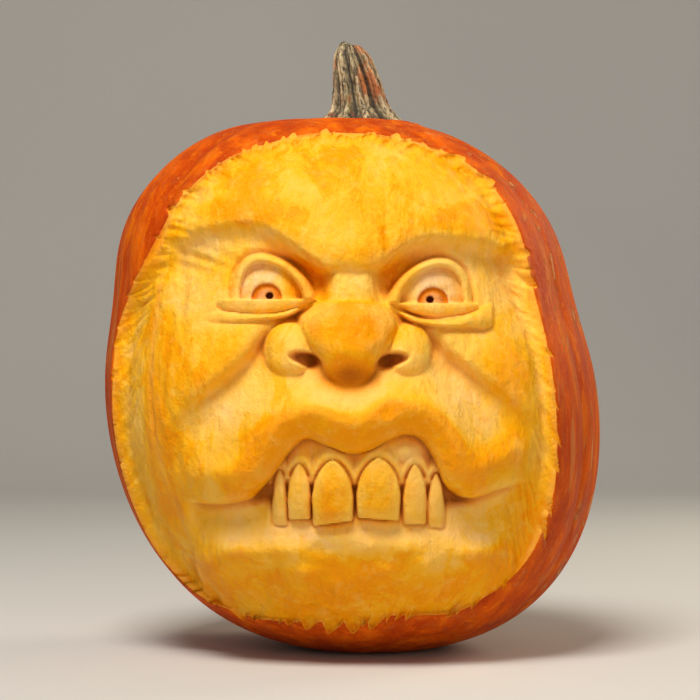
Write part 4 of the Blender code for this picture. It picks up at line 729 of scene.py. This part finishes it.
# Noises of the materials as (squeeze along z, turn about y, scale, detail, roughness, twist).
FRUIT_NOISES = {
    "patches": (1.0, 0.0, 38.0, 4.0, 0.6, 0.6),
    "scraping": (0.22, 0.5, 210.0, 3.0, 0.6, 0.0),
    "brushing": (0.6, 0.4, 26.0, 6.0, 0.72, 0.8),
    "pale_mottle": (1.0, 0.0, 120.0, 3.0, 0.7, 0.0),
    "amber_mottle": (1.0, 0.0, 75.0, 2.0, 0.6, 0.0),
    "rind_mottle": (0.35, 0.0, 46.0, 6.0, 0.65, 0.4),
    "flecks": (1.0, 0.0, 420.0, 2.0, 0.5, 0.0),
    "streaks": (0.12, 0.0, 95.0, 4.0, 0.65, 0.3),
    "scars": (0.10, 0.0, 150.0, 5.0, 0.7, 0.8),
    "ragged": (1.0, 0.0, 900.0, 2.0, 0.5, 0.0),
    "moisture": (1.0, 0.0, 60.0, 3.0, 0.6, 0.0),
    "fibres": (0.25, 0.4, 520.0, 4.0, 0.65, 0.0),
    "crumbs": (1.0, 0.0, 260.0, 4.0, 0.6, 0.0),
}
STEM_NOISES = {
    "fibres": (0.10, 0.0, 420.0, 5.0, 0.7, 0.3),
    "blotches": (0.4, 0.0, 90.0, 4.0, 0.6, 0.5),
    "moss": (0.10, 0.0, 140.0, 3.0, 0.6, 0.0),
    "shade": (0.10, 0.0, 75.0, 3.0, 0.6, 0.0),
}
FLOOR_NOISES = {"cloud": (1.0, 0.0, 3.0, 3.0, 0.5, 0.0)}

# Knife facets on the flesh as (squeeze along z, turn about y, scale, softness).
FACETS = (0.45, 0.35, 170.0, 0.6)
# How far patches and scraping shift the flesh, in millimetres of depth, and the amber brushed over it.
PATCHES_SHIFT, SCRAPING_SHIFT, SHIFT_FROM = 15.0, 5.0, (0.4, 4.0)
BRUSHED, BRUSHED_FROM = (0.53, 0.57, 0.0, -3.4), (1.0, 4.0)

# Flesh colours against the millimetres below the rind.
FLESH_STOPS = (
    (0.0, from_screen(200, 66, 0)),
    (0.6, from_screen(232, 112, 0)),
    (1.2, from_screen(246, 152, 0)),
    (4.0, from_screen(249, 168, 2)),
    (7.0, from_screen(251, 182, 30)),
    (10.5, from_screen(252, 192, 72)),
    (15.0, from_screen(252, 198, 100)),
    (22.0, from_screen(252, 202, 144)),
)
FLESH_RANGE = 26.0

# Layers over a colour as (what it follows, from, to, share at most, colour or the setting that holds it).
FLESH_LAYERS = (
    ("pale_mottle", 0.5, 0.8, 0.30, from_screen(255, 216, 110)),
    ("amber_mottle", 0.58, 0.72, 0.35, from_screen(244, 160, 0)),
    # Painted shade: the flesh turns orange brown, then dark brown, in its hollows; painted highlight: paler
    # flesh on its ridges.
    ("cavity", 0.3, 4.5, 0.6, from_screen(224, 126, 6)),
    ("cavity", 2.8, 7.5, 0.75, from_screen(156, 72, 2)),
    ("cavity", -0.4, -2.6, 0.25, from_screen(255, 212, 112)),
)
RIND_LAYERS = (
    ("flecks", 0.62, 0.74, 0.45, from_screen(240, 140, 20)),
    ("streaks", 0.52, 0.66, 0.5, from_screen(238, 122, 0)),
    ("streaks", 0.46, 0.34, 0.6, from_screen(176, 52, 0)),
)
WOOD_LAYERS = (
    ("blotches", 0.45, 0.62, 0.8, "stain"),
    ("moss", 0.5, 0.75, 0.6, from_screen(112, 112, 66)),
    # Painted shade: the grooves of the stem darkened toward the groove colour.
    ("groove", 0.12, 0.7, 0.92, "groove"),
)
WOOD_SHADE = (("shade", 0.44, 0.30, 0.8, "groove"),)
RIND_RANGE, FURROW_SHARE, SCARS_RANGE = (0.35, 0.7), 0.75, (0.56, 0.62)
WOOD_RANGE, CREST_BY_GROOVE, CREST_BY_FIBRES, CREST_SHARE = (0.35, 0.68), (0.10, 0.0), (0.4, 0.6), 0.6
CREST_COLOUR = from_screen(230, 212, 176)
RAGGED_EDGE, RIND_EDGE = 0.4, (0.25, 0.45)

# The eyes: how the painted shade of the iris ring darkens outward, the edge of the pupil's painted shade,
# and the soft edge at the lower lid.
IRIS_RING, PUPIL_RING, LID_SHADE = (3.6, 6.2, 0.55, 1.0), (2.4, 1.5), 0.5

# Roughness as (from, to, least, most), relief as shares of what it follows, and bump as (strength, metres).
FLESH_GLOSS, RIND_GLOSS = (0.3, 0.75, 0.34, 0.56), (0.3, 0.75, 0.52, 0.72)
WOOD_GLOSS = (0.2, 0.8, 0.62, 0.85)
FLESH_RELIEF = (("fibres", 0.6), ("crumbs", 0.9), ("facets", 0.9))
RIND_RELIEF = (("rind_mottle", 0.8), ("corked", 0.9), ("streaks", 1.2), ("flecks", 0.25))
WOOD_RELIEF = (("fibres", 1.0), ("blotches", 0.5))
FRUIT_BUMP, WOOD_BUMP = (0.85, 0.0015), (0.9, 0.0012)
FRUIT_SHADER = {
    "Specular IOR Level": 0.08,
    "Subsurface Weight": 0.22,
    "Subsurface Radius": (1.0, 0.45, 0.12),
    "Subsurface Scale": 0.006,
}
FLOOR_SHADE, FLOOR_ROUGHNESS = 0.94, 0.9

# What every colour setting has.
COLOUR = {"size": 3, "min": 0.0, "max": 1.0, "subtype": "COLOR"}


class PumpkinSettings(bpy.types.PropertyGroup):
    """Sizes and colours of the carved pumpkin."""

    columns: bpy.props.IntProperty(
        name="Columns", description="Columns round the fruit before smoothing", default=140, min=40)
    rows: bpy.props.IntProperty(
        name="Rows", description="Rows up the fruit before smoothing", default=116, min=40)
    kept: bpy.props.FloatProperty(
        name="Faces kept", description="Share of the faces kept, fewest where it is flat", default=0.36,
        min=0.02, max=1.0, subtype="FACTOR")
    rind: bpy.props.FloatVectorProperty(
        name="Rind", description="Orange of the ribs", default=from_screen(230, 100, 0), **COLOUR)
    rind_deep: bpy.props.FloatVectorProperty(
        name="Rind in the furrows", description="Darker orange between the ribs",
        default=from_screen(180, 60, 0), **COLOUR)
    rind_cork: bpy.props.FloatVectorProperty(
        name="Cork", description="Dry corky scars on the rind", default=from_screen(206, 140, 80), **COLOUR)
    # The pupil and iris colours are painted shade: dark brown in each eye's shallow pupil pit and darker
    # orange in its dished iris.
    pupil: bpy.props.FloatVectorProperty(
        name="Pupil", description="Dark hole of the eye", default=from_screen(96, 34, 6), **COLOUR)
    iris: bpy.props.FloatVectorProperty(
        name="Iris", description="Orange ring of the eye", default=from_screen(222, 122, 12), **COLOUR)


class StemSettings(bpy.types.PropertyGroup):
    """Sizes and colours of the woody stem."""

    columns: bpy.props.IntProperty(name="Columns", description="Columns round the stem", default=150, min=24)
    rows: bpy.props.IntProperty(name="Rows", description="Rows up the stem", default=70, min=12)
    ridge: bpy.props.FloatVectorProperty(
        name="Ridges", description="Pale dry ridges", default=from_screen(206, 184, 138), **COLOUR)
    # The groove colour is the dark of the stem's fibres and also its painted shade in the grooves.
    groove: bpy.props.FloatVectorProperty(
        name="Grooves", description="Dark grooves between the ridges",
        default=from_screen(34, 24, 10), **COLOUR)
    stain: bpy.props.FloatVectorProperty(
        name="Stain", description="Orange brown streaks", default=from_screen(186, 98, 34), **COLOUR)


class StageSettings(bpy.types.PropertyGroup):
    """Floor, lights and camera."""

    floor: bpy.props.FloatVectorProperty(
        name="Floor", description="Pale floor and backdrop", default=(0.62, 0.61, 0.59), **COLOUR)
    key_power: bpy.props.FloatProperty(
        name="Key light", description="Power of the large light in front", default=49.0, min=0, unit="POWER")
    fill_power: bpy.props.FloatProperty(
        name="Fill light", description="Power of the light on the right", default=9.0, min=0, unit="POWER")
    rim_power: bpy.props.FloatProperty(
        name="Rim light", description="Power of the light behind", default=9.0, min=0, unit="POWER")
    air: bpy.props.FloatProperty(
        name="Surrounding light", description="Strength of the even light from all sides",
        default=0.15, min=0)
    distance: bpy.props.FloatProperty(
        name="Camera distance", description="From the camera to the middle of the fruit", default=1.45,
        min=0.3, unit="LENGTH")
    lens: bpy.props.FloatProperty(
        name="Lens", description="Focal length in millimetres", default=131.8, min=20)


class Look:
    """A material in the making, with its noises by name and short ways to add nodes."""

    def __init__(self, name, settings, noises):
        self.material = bpy.data.materials.new(name)
        self.material.use_nodes = True
        self.tree = self.material.node_tree
        self.shader = self.tree.nodes["Principled BSDF"].inputs
        self.settings = settings
        self.noises = noises
        self.made = {}

    def node(self, kind, settings=None, **inputs):
        """A new node with these settings; inputs are values or sockets to link, by socket name."""
        node = self.tree.nodes.new(kind)
        for name, value in (settings or {}).items():
            setattr(node, name, value)
        for name, value in inputs.items():
            self.put(node.inputs[name], value)
        return node

    def put(self, socket, value):
        """Links what a name or a socket stands for, or sets a plain value."""
        value = self.value(value)
        if isinstance(value, bpy.types.NodeSocket):
            self.tree.links.new(value, socket)
        elif socket.type == "RGBA":
            socket.default_value = (*value, 1.0)
        else:
            socket.default_value = value

    def value(self, source):
        """The socket of a named noise or of a mark on the mesh, made once; anything else as it is."""
        if not isinstance(source, str):
            return source
        if source not in self.made:
            if source in self.noises:
                squeeze, turn, scale, detail, roughness, twist = self.noises[source]
                node = self.node("ShaderNodeTexNoise", Vector=self.stretched(squeeze, turn), Scale=scale,
                                 Detail=detail, Roughness=roughness, Distortion=twist)
            else:
                node = self.node("ShaderNodeAttribute", {"attribute_name": source})
            self.made[source] = node.outputs["Fac"]
        return self.made[source]

    def place(self):
        return self.tree.nodes.new("ShaderNodeTexCoord").outputs["Object"]

    def stretched(self, squeeze, turn):
        """Object coordinates squeezed along z after a turn about y."""
        node = self.node("ShaderNodeMapping", Vector=self.place())
        node.inputs["Scale"].default_value = (1.0, 1.0, squeeze)
        node.inputs["Rotation"].default_value = (0.0, turn, 0.0)
        return node.outputs[0]

    def maths(self, operation, *values):
        node = self.node("ShaderNodeMath", {"operation": operation})
        for socket, value in zip(node.inputs, values):
            self.put(socket, value)
        return node.outputs[0]

    def swing(self, noise, amount):
        """A noise moved to swing about zero, times an amount."""
        return self.maths("MULTIPLY", self.maths("SUBTRACT", noise, 0.5), amount)

    def sum_of(self, shares):
        """Sum of sources, each times its share."""
        total = None
        for source, share in shares:
            part = self.maths("MULTIPLY", source, share)
            total = part if total is None else self.maths("ADD", total, part)
        return total

    def step(self, source, low, high, to_low=0.0, to_high=1.0):
        """Soft step of a source from low to high."""
        node = self.node("ShaderNodeMapRange", {"interpolation_type": "SMOOTHSTEP"}, Value=source)
        limits = {"From Min": low, "From Max": high, "To Min": to_low, "To Max": to_high}
        for name, limit in limits.items():
            node.inputs[name].default_value = limit
        return node.outputs["Result"]

    def blend(self, share, a, b, kind="RGBA"):
        """Goes from a to b as share goes from 0 to 1: colours, or numbers where kind is FLOAT."""
        node = self.node("ShaderNodeMix", {"data_type": kind})
        first, out = (6, 2) if kind == "RGBA" else (2, 0)
        for socket, value in ((0, share), (first, a), (first + 1, b)):
            self.put(node.inputs[socket], value)
        return node.outputs[out]

    def setting(self, name):
        return tuple(getattr(self.settings, name))

    def layered(self, colour, layers):
        """A colour with layers over it."""
        for follows, low, high, most, over in layers:
            over = self.setting(over) if isinstance(over, str) else over
            colour = self.blend(self.step(follows, low, high, 0.0, most), colour, over)
        return colour

    def ramp(self, source, stops):
        """Colours against a source from 0 to 1, as (place, colour)."""
        node = self.tree.nodes.new("ShaderNodeValToRGB")
        self.put(node.inputs[0], source)
        elements = node.color_ramp.elements
        while len(elements) < len(stops):
            elements.new(0.5)
        for element, (place, colour) in zip(elements, stops):
            element.position = place
            element.color = (*colour, 1.0)
        return node.outputs[0]

    def finish(self, colour, roughness, height=None, bump=None):
        """Sets colour, roughness and bump on the shader and hands over the material."""
        self.put(self.shader["Base Color"], colour)
        self.put(self.shader["Roughness"], roughness)
        if bump:
            strength, distance = bump
            node = self.node("ShaderNodeBump", Strength=strength, Distance=distance, Height=height)
            self.put(self.shader["Normal"], node.outputs[0])
        return self.material


def flesh_colour(look):
    """Amber near the rind, pale and creamy deeper, in uneven patches and scraped streaks, with painted shade
    in the hollows and painted highlight on the ridges and in some patches.
    """
    uneven = look.maths("ADD", look.swing("patches", PATCHES_SHIFT), look.swing("scraping", SCRAPING_SHIFT))
    uneven = look.maths("MULTIPLY", uneven, look.step("depth", *SHIFT_FROM))
    brushed = look.maths("MULTIPLY", look.step("brushing", *BRUSHED), look.step("depth", *BRUSHED_FROM))
    shown = look.maths("ADD", look.maths("ADD", "tone", uneven), brushed)
    shown = look.maths("MAXIMUM", shown, look.maths("MINIMUM", "depth", LEAST_TONE))
    stops = [(millimetres / FLESH_RANGE, colour) for millimetres, colour in FLESH_STOPS]
    flesh = look.ramp(look.maths("DIVIDE", shown, FLESH_RANGE), stops)
    return look.layered(flesh, FLESH_LAYERS)


def rind_colour(look):
    """Mottled orange ribs, darker furrows, fine pale flecks, streaks and cork scars."""
    deep = look.setting("rind_deep")
    rind = look.blend(look.step("rind_mottle", *RIND_RANGE), deep, look.setting("rind"))
    rind = look.blend(look.maths("MULTIPLY", "furrow", FURROW_SHARE), rind, deep)
    rind = look.layered(rind, RIND_LAYERS)
    look.made["corked"] = look.maths("MULTIPLY", look.step("scars", *SCARS_RANGE), "cork")
    return look.blend("corked", rind, look.setting("rind_cork"))


def eye_disc(look, x, z, foot, edge):
    """Millimetres from (x, z) on the face, and a disc round it that stops at the lower lid."""
    place = look.node("ShaderNodeSeparateXYZ", Vector=look.place()).outputs
    across, up = look.maths("SUBTRACT", place["X"], x), look.maths("SUBTRACT", place["Z"], z)
    across, up = look.maths("MULTIPLY", across, across), look.maths("MULTIPLY", up, up)
    away = look.maths("MULTIPLY", look.maths("SQRT", look.maths("ADD", across, up)), 1 / MM)
    over = look.step(place["Z"], foot, foot + LID_SHADE * MM)
    return away, look.maths("MULTIPLY", look.step(away, *edge), over)


def flesh_and_rind_look(settings, eyes_at):
    """Flesh coloured by its depth below the rind, and the ribbed waxy rind round it."""
    look = Look("carved_flesh_and_rind_look", settings, FRUIT_NOISES)
    flesh = flesh_colour(look)
    # Painted shade in the eyes: darker orange toward the rim of each dished iris, dark brown in each pupil
    # pit.
    for pupil_x, pupil_z, iris_x, iris_z, foot in eyes_at:
        away, iris = eye_disc(look, iris_x, iris_z, foot, IRIS_EDGE)
        ring = look.step(away, *IRIS_RING)
        flesh = look.blend(look.maths("MULTIPLY", iris, ring), flesh, look.setting("iris"))
        _, pupil = eye_disc(look, pupil_x, pupil_z, foot, PUPIL_RING)
        flesh = look.blend(pupil, flesh, look.setting("pupil"))
    rind = rind_colour(look)
    is_flesh = look.step(look.maths("ADD", "depth", look.swing("ragged", RAGGED_EDGE)), *RIND_EDGE)
    gloss = look.blend(
        is_flesh, look.step("rind_mottle", *RIND_GLOSS), look.step("moisture", *FLESH_GLOSS), "FLOAT")
    for name, value in FRUIT_SHADER.items():
        look.shader[name].default_value = value
    squeeze, turn, scale, softness = FACETS
    facets = look.node("ShaderNodeTexVoronoi", {"feature": "SMOOTH_F1"}, Scale=scale, Smoothness=softness,
                       Vector=look.stretched(squeeze, turn))
    look.made["facets"] = facets.outputs["Distance"]
    height = look.blend(is_flesh, look.sum_of(RIND_RELIEF), look.sum_of(FLESH_RELIEF), "FLOAT")
    return look.finish(look.blend(is_flesh, rind, flesh), gloss, height, FRUIT_BUMP)


def woody_look(settings):
    """Dry ridged stalk: pale ridges, grooves darkened with painted shade, orange brown streaks."""
    look = Look("woody_stem_look", settings, STEM_NOISES)
    wood = look.blend(look.step("fibres", *WOOD_RANGE), look.setting("groove"), look.setting("ridge"))
    wood = look.layered(wood, WOOD_LAYERS)
    crest, pale = look.step("groove", *CREST_BY_GROOVE), look.step("fibres", *CREST_BY_FIBRES)
    crest = look.maths("MULTIPLY", look.maths("MULTIPLY", crest, pale), CREST_SHARE)
    wood = look.blend(crest, wood, CREST_COLOUR)
    wood = look.layered(wood, WOOD_SHADE)
    return look.finish(wood, look.step("fibres", *WOOD_GLOSS), look.sum_of(WOOD_RELIEF), WOOD_BUMP)


def floor_look(settings):
    look = Look("pale_floor_look", settings, FLOOR_NOISES)
    pale = look.setting("floor")
    shade = tuple(value * FLOOR_SHADE for value in pale)
    return look.finish(look.blend("cloud", shade, pale), FLOOR_ROUGHNESS)


# Pieces.
def ball(name, columns, rows, levels):
    """A ball with its faces divided, and the angle from the front and the rise of each of its points."""
    bm = bmesh.new()
    bmesh.ops.create_uvsphere(bm, u_segments=columns, v_segments=rows, radius=1.0)
    bmesh.ops.recalc_face_normals(bm, faces=bm.faces)
    piece = piece_of(bm, name)
    if levels:
        divide = piece.modifiers.new("divided", "SUBSURF")
        divide.subdivision_type = "SIMPLE"
        divide.levels = divide.render_levels = levels
        apply_modifiers(piece)
    points = np.empty(len(piece.data.vertices) * 3)
    piece.data.vertices.foreach_get("co", points)
    points = points.reshape(-1, 3)
    points /= np.linalg.norm(points, axis=1)[:, None]
    return piece, np.arctan2(points[:, 0], -points[:, 1]), np.arcsin(np.clip(points[:, 2], -1.0, 1.0))


def piece_of(bm, name):
    """A piece of the scene made from a bmesh, which is freed."""
    mesh = bpy.data.meshes.new(name)
    bm.to_mesh(mesh)
    bm.free()
    piece = bpy.data.objects.new(name, mesh)
    bpy.context.scene.collection.objects.link(piece)
    return piece


def apply_modifiers(piece):
    graph = bpy.context.evaluated_depsgraph_get()
    made = bpy.data.meshes.new_from_object(piece.evaluated_get(graph), depsgraph=graph)
    old = piece.data
    piece.modifiers.clear()
    piece.data = made
    made.name = piece.name
    bpy.data.meshes.remove(old)


def shade_smooth(mesh):
    mesh.polygons.foreach_set("use_smooth", [True] * len(mesh.polygons))


def place_points(piece, points, middle):
    """Puts the points of a piece in place, from millimetres, with the fruit's middle at the origin."""
    points = (points - np.array([middle[0], middle[1], 0.0])) * MM
    piece.data.vertices.foreach_set("co", points.ravel())
    shade_smooth(piece.data)
    piece.data.update()


def mark(piece, name, values):
    """Stores one number for each point of a piece, for its material to read."""
    layer = piece.data.attributes.new(name, "FLOAT", "POINT")
    layer.data.foreach_set("value", np.ascontiguousarray(values, np.float32))


def middle_of(points):
    return ((points[:, 0].min() + points[:, 0].max()) / 2, (points[:, 1].min() + points[:, 1].max()) / 2)


def middle_of_fruit(context):
    """The middle that the carved fruit was placed about; it is made first."""
    if "pumpkin_middle" not in context.scene:
        raise RuntimeError("Make the carved fruit first")
    return tuple(context.scene["pumpkin_middle"])


def finish_piece(piece, node, look):
    """Makes a piece stand for its node, with its own look."""
    piece.data.materials.clear()
    piece.data.materials.append(look)
    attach(piece, "root")
    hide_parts(node)


def tones_and_painted_shade(x, z, depth):
    """Depth that the flesh is coloured by, shifted by patches that are partly the flesh's own tone and
    partly painted shade and painted highlight.
    """
    amber, pale = np.zeros(x.shape), np.zeros(x.shape)
    for middle_x, middle_z, reach_x, reach_z, amount in TONE_AND_SHADE_PATCHES:
        far = ((x - middle_x) / reach_x) ** 2 + ((z - middle_z) / reach_z) ** 2
        shade = amount * np.exp(-far * far)
        amber, pale = np.minimum(amber, shade), np.maximum(pale, shade)
    over = above(x, z, LIP_EDGE)
    on_lip = smooth(*LIP_BAND_TOP, over) * smooth(*LIP_BAND_FOOT, over)
    on_lip = on_lip * smooth(*LIP_BAND_ENDS, np.abs(x - MOUTH_MIDDLE))
    shift = mix(amber + pale, LIP_AMBER, on_lip) * smooth(*TONE_PATCHES_FROM, depth)
    base = TONE_RANGE * (1 - np.exp(-depth / TONE_REACH))
    return np.maximum(base + shift, np.minimum(depth, LEAST_TONE))


def painted_cavity_shade(x, z, depth):
    """How much deeper each point of the face is than the flesh about it, in millimetres, with spots of
    painted shade; the flesh is painted with shade and highlight by it.
    """
    cells = (int(2 * CAVITY_HALF / CAVITY_CELL), int(CAVITY_TOP / CAVITY_CELL))
    reach = ((-CAVITY_HALF, CAVITY_HALF), (0, CAVITY_TOP))
    front = depth > 0
    total = np.histogram2d(x[front], z[front], cells, reach, weights=depth[front])[0]
    count = np.histogram2d(x[front], z[front], cells, reach)[0]
    filled = (count > 0).astype(float)
    spread = total / np.maximum(count, 1)
    for _ in range(CAVITY_PASSES):
        for axis in (0, 1):
            spread = spread / 2 + (np.roll(spread, 1, axis) + np.roll(spread, -1, axis)) / 4
            filled = filled / 2 + (np.roll(filled, 1, axis) + np.roll(filled, -1, axis)) / 4
    level = spread / np.maximum(filled, CAVITY_LEAST)
    across = np.clip((x + CAVITY_HALF) / CAVITY_CELL - 0.5, 0, cells[0] - LAST_CELL)
    up = np.clip(z / CAVITY_CELL - 0.5, 0, cells[1] - LAST_CELL)
    i, j = across.astype(int), up.astype(int)
    s, t = across - i, up - j
    about = mix(mix(level[i, j], level[i + 1, j], s), mix(level[i, j + 1], level[i + 1, j + 1], s), t)
    return np.where(front, swollen(depth - about, x, z, PAINTED_SHADE_SPOTS), 0.0)


def cork(bearing, height):
    """Share of corky scars for a bearing round the fruit, in degrees, and a height."""
    middle, reach, amount = CORK_RIGHT
    right = bell((bearing - middle) / reach)
    left = swell(bearing, height, *CORK_LEFT[:-1])
    return np.clip(CORK_LEAST + amount * right + CORK_LEFT[-1] * left, 0, 1)


def eye_places(middle):
    """Places of each eye's pupil, iris and lower lid on the finished piece, in metres."""
    places = []
    for side, pupil_x, pupil_z, _, _, _, foot, _ in EYES:
        iris_x, iris_z = pupil_x + side * IRIS_SHIFT[0], pupil_z - IRIS_SHIFT[1]
        place = (pupil_x - middle[0], pupil_z, iris_x - middle[0], iris_z, foot)
        places.append([number * MM for number in place])
    return places


class PUMPKIN_OT_fruit(bpy.types.Operator):
    """Make the carved fruit: its ribbed rind and the face cut into it"""

    bl_idname = "pumpkin.fruit"
    bl_label = "Carved fruit"

    def execute(self, context):
        settings = context.scene.pumpkin_fruit
        piece, turn, rise = ball("carved_fruit", settings.columns, settings.rows, SMOOTH_LEVELS)
        turn = turn - FACE_FOCUS * np.sin(turn)
        rise = rise - ROW_FOCUS * np.sin(2 * rise) / 2
        points, depth = carved_fruit(turn, rise)
        middle = middle_of(points)
        context.scene["pumpkin_middle"] = middle
        place_points(piece, points, middle)
        x, height = points[:, 0], points[:, 2]
        scale = fruit_point(turn, rise)[2]
        mark(piece, "depth", depth)
        # Flesh tone, with painted shade and painted highlight in some of its patches.
        mark(piece, "tone", tones_and_painted_shade(x, height, depth))
        # Painted shade in the hollows of the flesh, and painted highlight on its ridges.
        mark(piece, "cavity", painted_cavity_shade(x, height, depth))
        mark(piece, "furrow", np.clip((1 - scale) * FURROW_MARK, 0, 1))
        mark(piece, "cork", cork(np.degrees(turn), height))
        fewer = piece.modifiers.new("fewer_flat_faces", "DECIMATE")
        fewer.ratio = settings.kept
        apply_modifiers(piece)
        look = flesh_and_rind_look(settings, eye_places(middle))
        finish_piece(piece, "pumpkin", look)
        return {"FINISHED"}


class PUMPKIN_OT_stem(bpy.types.Operator):
    """Make the woody stem with its ridges"""

    bl_idname = "pumpkin.stem"
    bl_label = "Stem"

    def execute(self, context):
        settings = context.scene.pumpkin_stem
        middle = middle_of_fruit(context)
        piece, turn, rise = ball("woody_stem", settings.columns, settings.rows, 0)
        points = stalk(turn, rise)
        place_points(piece, points, middle)
        height = points[:, 2]
        coarse, fine = stalk_grooves(turn + STALK_TWIST * (height - height.min()), height)
        # The groove mark, which paints shade into the stem's grooves and pales its crests.
        mark(piece, "groove", np.maximum(GROOVE_MARK * coarse, FINE_GROOVE_MARK * fine))
        finish_piece(piece, "stem", woody_look(settings))
        return {"FINISHED"}


# Lights as (name, setting of its power, place, target, size, colour), in metres.
LIGHTS = (
    ("key_light", "key_power", (-0.35, -1.05, 1.95), (0.0, 0.0, 0.15), 0.8, (1.0, 0.95, 0.88)),
    ("fill_light", "fill_power", (0.5, -1.9, 0.25), (0.0, 0.0, 0.12), 1.2, (1.0, 0.90, 0.76)),
    ("rim_light", "rim_power", (1.15, 0.75, 0.75), (0.0, 0.0, 0.2), 0.6, (1.0, 0.86, 0.62)),
)
AIR_COLOUR = (1.0, 0.93, 0.84, 1.0)
FLOOR_SIZE, FLOOR_BACK, FLOOR_BEND, FLOOR_ROWS = 4.0, 1.6, 0.8, 80
CAMERA_ACROSS, CAMERA_HEIGHT, SENSOR_WIDTH, FARTHEST = -1.13, 168.0, 36.0, 50.0


def make_floor(settings):
    """A floor that curves up behind the pumpkin."""
    bm = bmesh.new()
    bmesh.ops.create_grid(bm, x_segments=2, y_segments=FLOOR_ROWS, size=FLOOR_SIZE)
    for vertex in bm.verts:
        past = vertex.co.y - FLOOR_BACK
        if past > 0:
            angle = min(past / FLOOR_BEND, math.pi / 2)
            rest = max(past - FLOOR_BEND * math.pi / 2, 0.0)
            vertex.co.y = FLOOR_BACK + FLOOR_BEND * math.sin(angle)
            vertex.co.z = FLOOR_BEND * (1 - math.cos(angle)) + rest
    bmesh.ops.recalc_face_normals(bm, faces=bm.faces)
    floor = piece_of(bm, "floor")
    shade_smooth(floor.data)
    floor.data.materials.append(floor_look(settings))


def make_light(name, power, place, target, size, colour):
    light = bpy.data.lights.new(name, "AREA")
    light.size = size
    light.energy = power
    light.color = colour
    lamp = bpy.data.objects.new(name, light)
    lamp.location = place
    lamp.rotation_euler = (Vector(target) - Vector(place)).to_track_quat("-Z", "Y").to_euler()
    bpy.context.scene.collection.objects.link(lamp)


def make_camera(context, settings):
    """Level camera in front of the face."""
    middle = middle_of_fruit(context)
    data = bpy.data.cameras.new("camera")
    data.lens = settings.lens
    data.sensor_width = SENSOR_WIDTH
    data.clip_end = FARTHEST
    camera = bpy.data.objects.new("camera", data)
    camera.location.x = (CAMERA_ACROSS - middle[0]) * MM
    camera.location.y = -settings.distance - middle[1] * MM
    camera.location.z = CAMERA_HEIGHT * MM
    camera.rotation_euler = (math.pi / 2, 0.0, 0.0)
    context.scene.collection.objects.link(camera)
    context.scene.camera = camera


class PUMPKIN_OT_stage(bpy.types.Operator):
    """Make the floor, the lights and the camera"""

    bl_idname = "pumpkin.stage"
    bl_label = "Stage"

    def execute(self, context):
        settings = context.scene.pumpkin_stage
        make_floor(settings)
        for name, power, *shape in LIGHTS:
            make_light(name, getattr(settings, power), *shape)
        world = bpy.data.worlds.new("even_light")
        world.use_nodes = True
        air = world.node_tree.nodes["Background"].inputs
        air["Color"].default_value = AIR_COLOUR
        air["Strength"].default_value = settings.air
        context.scene.world = world
        context.scene.view_settings.view_transform = "Standard"
        make_camera(context, settings)
        return {"FINISHED"}


PIECES = (
    (PUMPKIN_OT_fruit, PumpkinSettings, "pumpkin_fruit"),
    (PUMPKIN_OT_stem, StemSettings, "pumpkin_stem"),
    (PUMPKIN_OT_stage, StageSettings, "pumpkin_stage"),
)


class PUMPKIN_PT_panel(bpy.types.Panel):
    """Carved pumpkin"""

    bl_idname = "PUMPKIN_PT_panel"
    bl_label = "Carved pumpkin"
    bl_space_type = "VIEW_3D"
    bl_region_type = "UI"
    bl_category = "Pumpkin"

    def draw(self, context):
        column = self.layout.column()
        for operator, _, settings in PIECES:
            column.operator(operator.bl_idname)
            group = getattr(context.scene, settings)
            for name in group.bl_rna.properties.keys():
                if name not in ("rna_type", "name"):
                    column.prop(group, name)


def register():
    for operator, group, name in PIECES:
        bpy.utils.register_class(group)
        setattr(bpy.types.Scene, name, bpy.props.PointerProperty(type=group))
        bpy.utils.register_class(operator)
    bpy.utils.register_class(PUMPKIN_PT_panel)


def unregister():
    bpy.utils.unregister_class(PUMPKIN_PT_panel)
    for operator, group, name in reversed(PIECES):
        bpy.utils.unregister_class(operator)
        delattr(bpy.types.Scene, name)
        bpy.utils.unregister_class(group)


def main():
    register()
    bpy.ops.pumpkin.fruit()
    bpy.ops.pumpkin.stem()
    bpy.ops.pumpkin.stage()


if __name__ == "__main__":
    main()
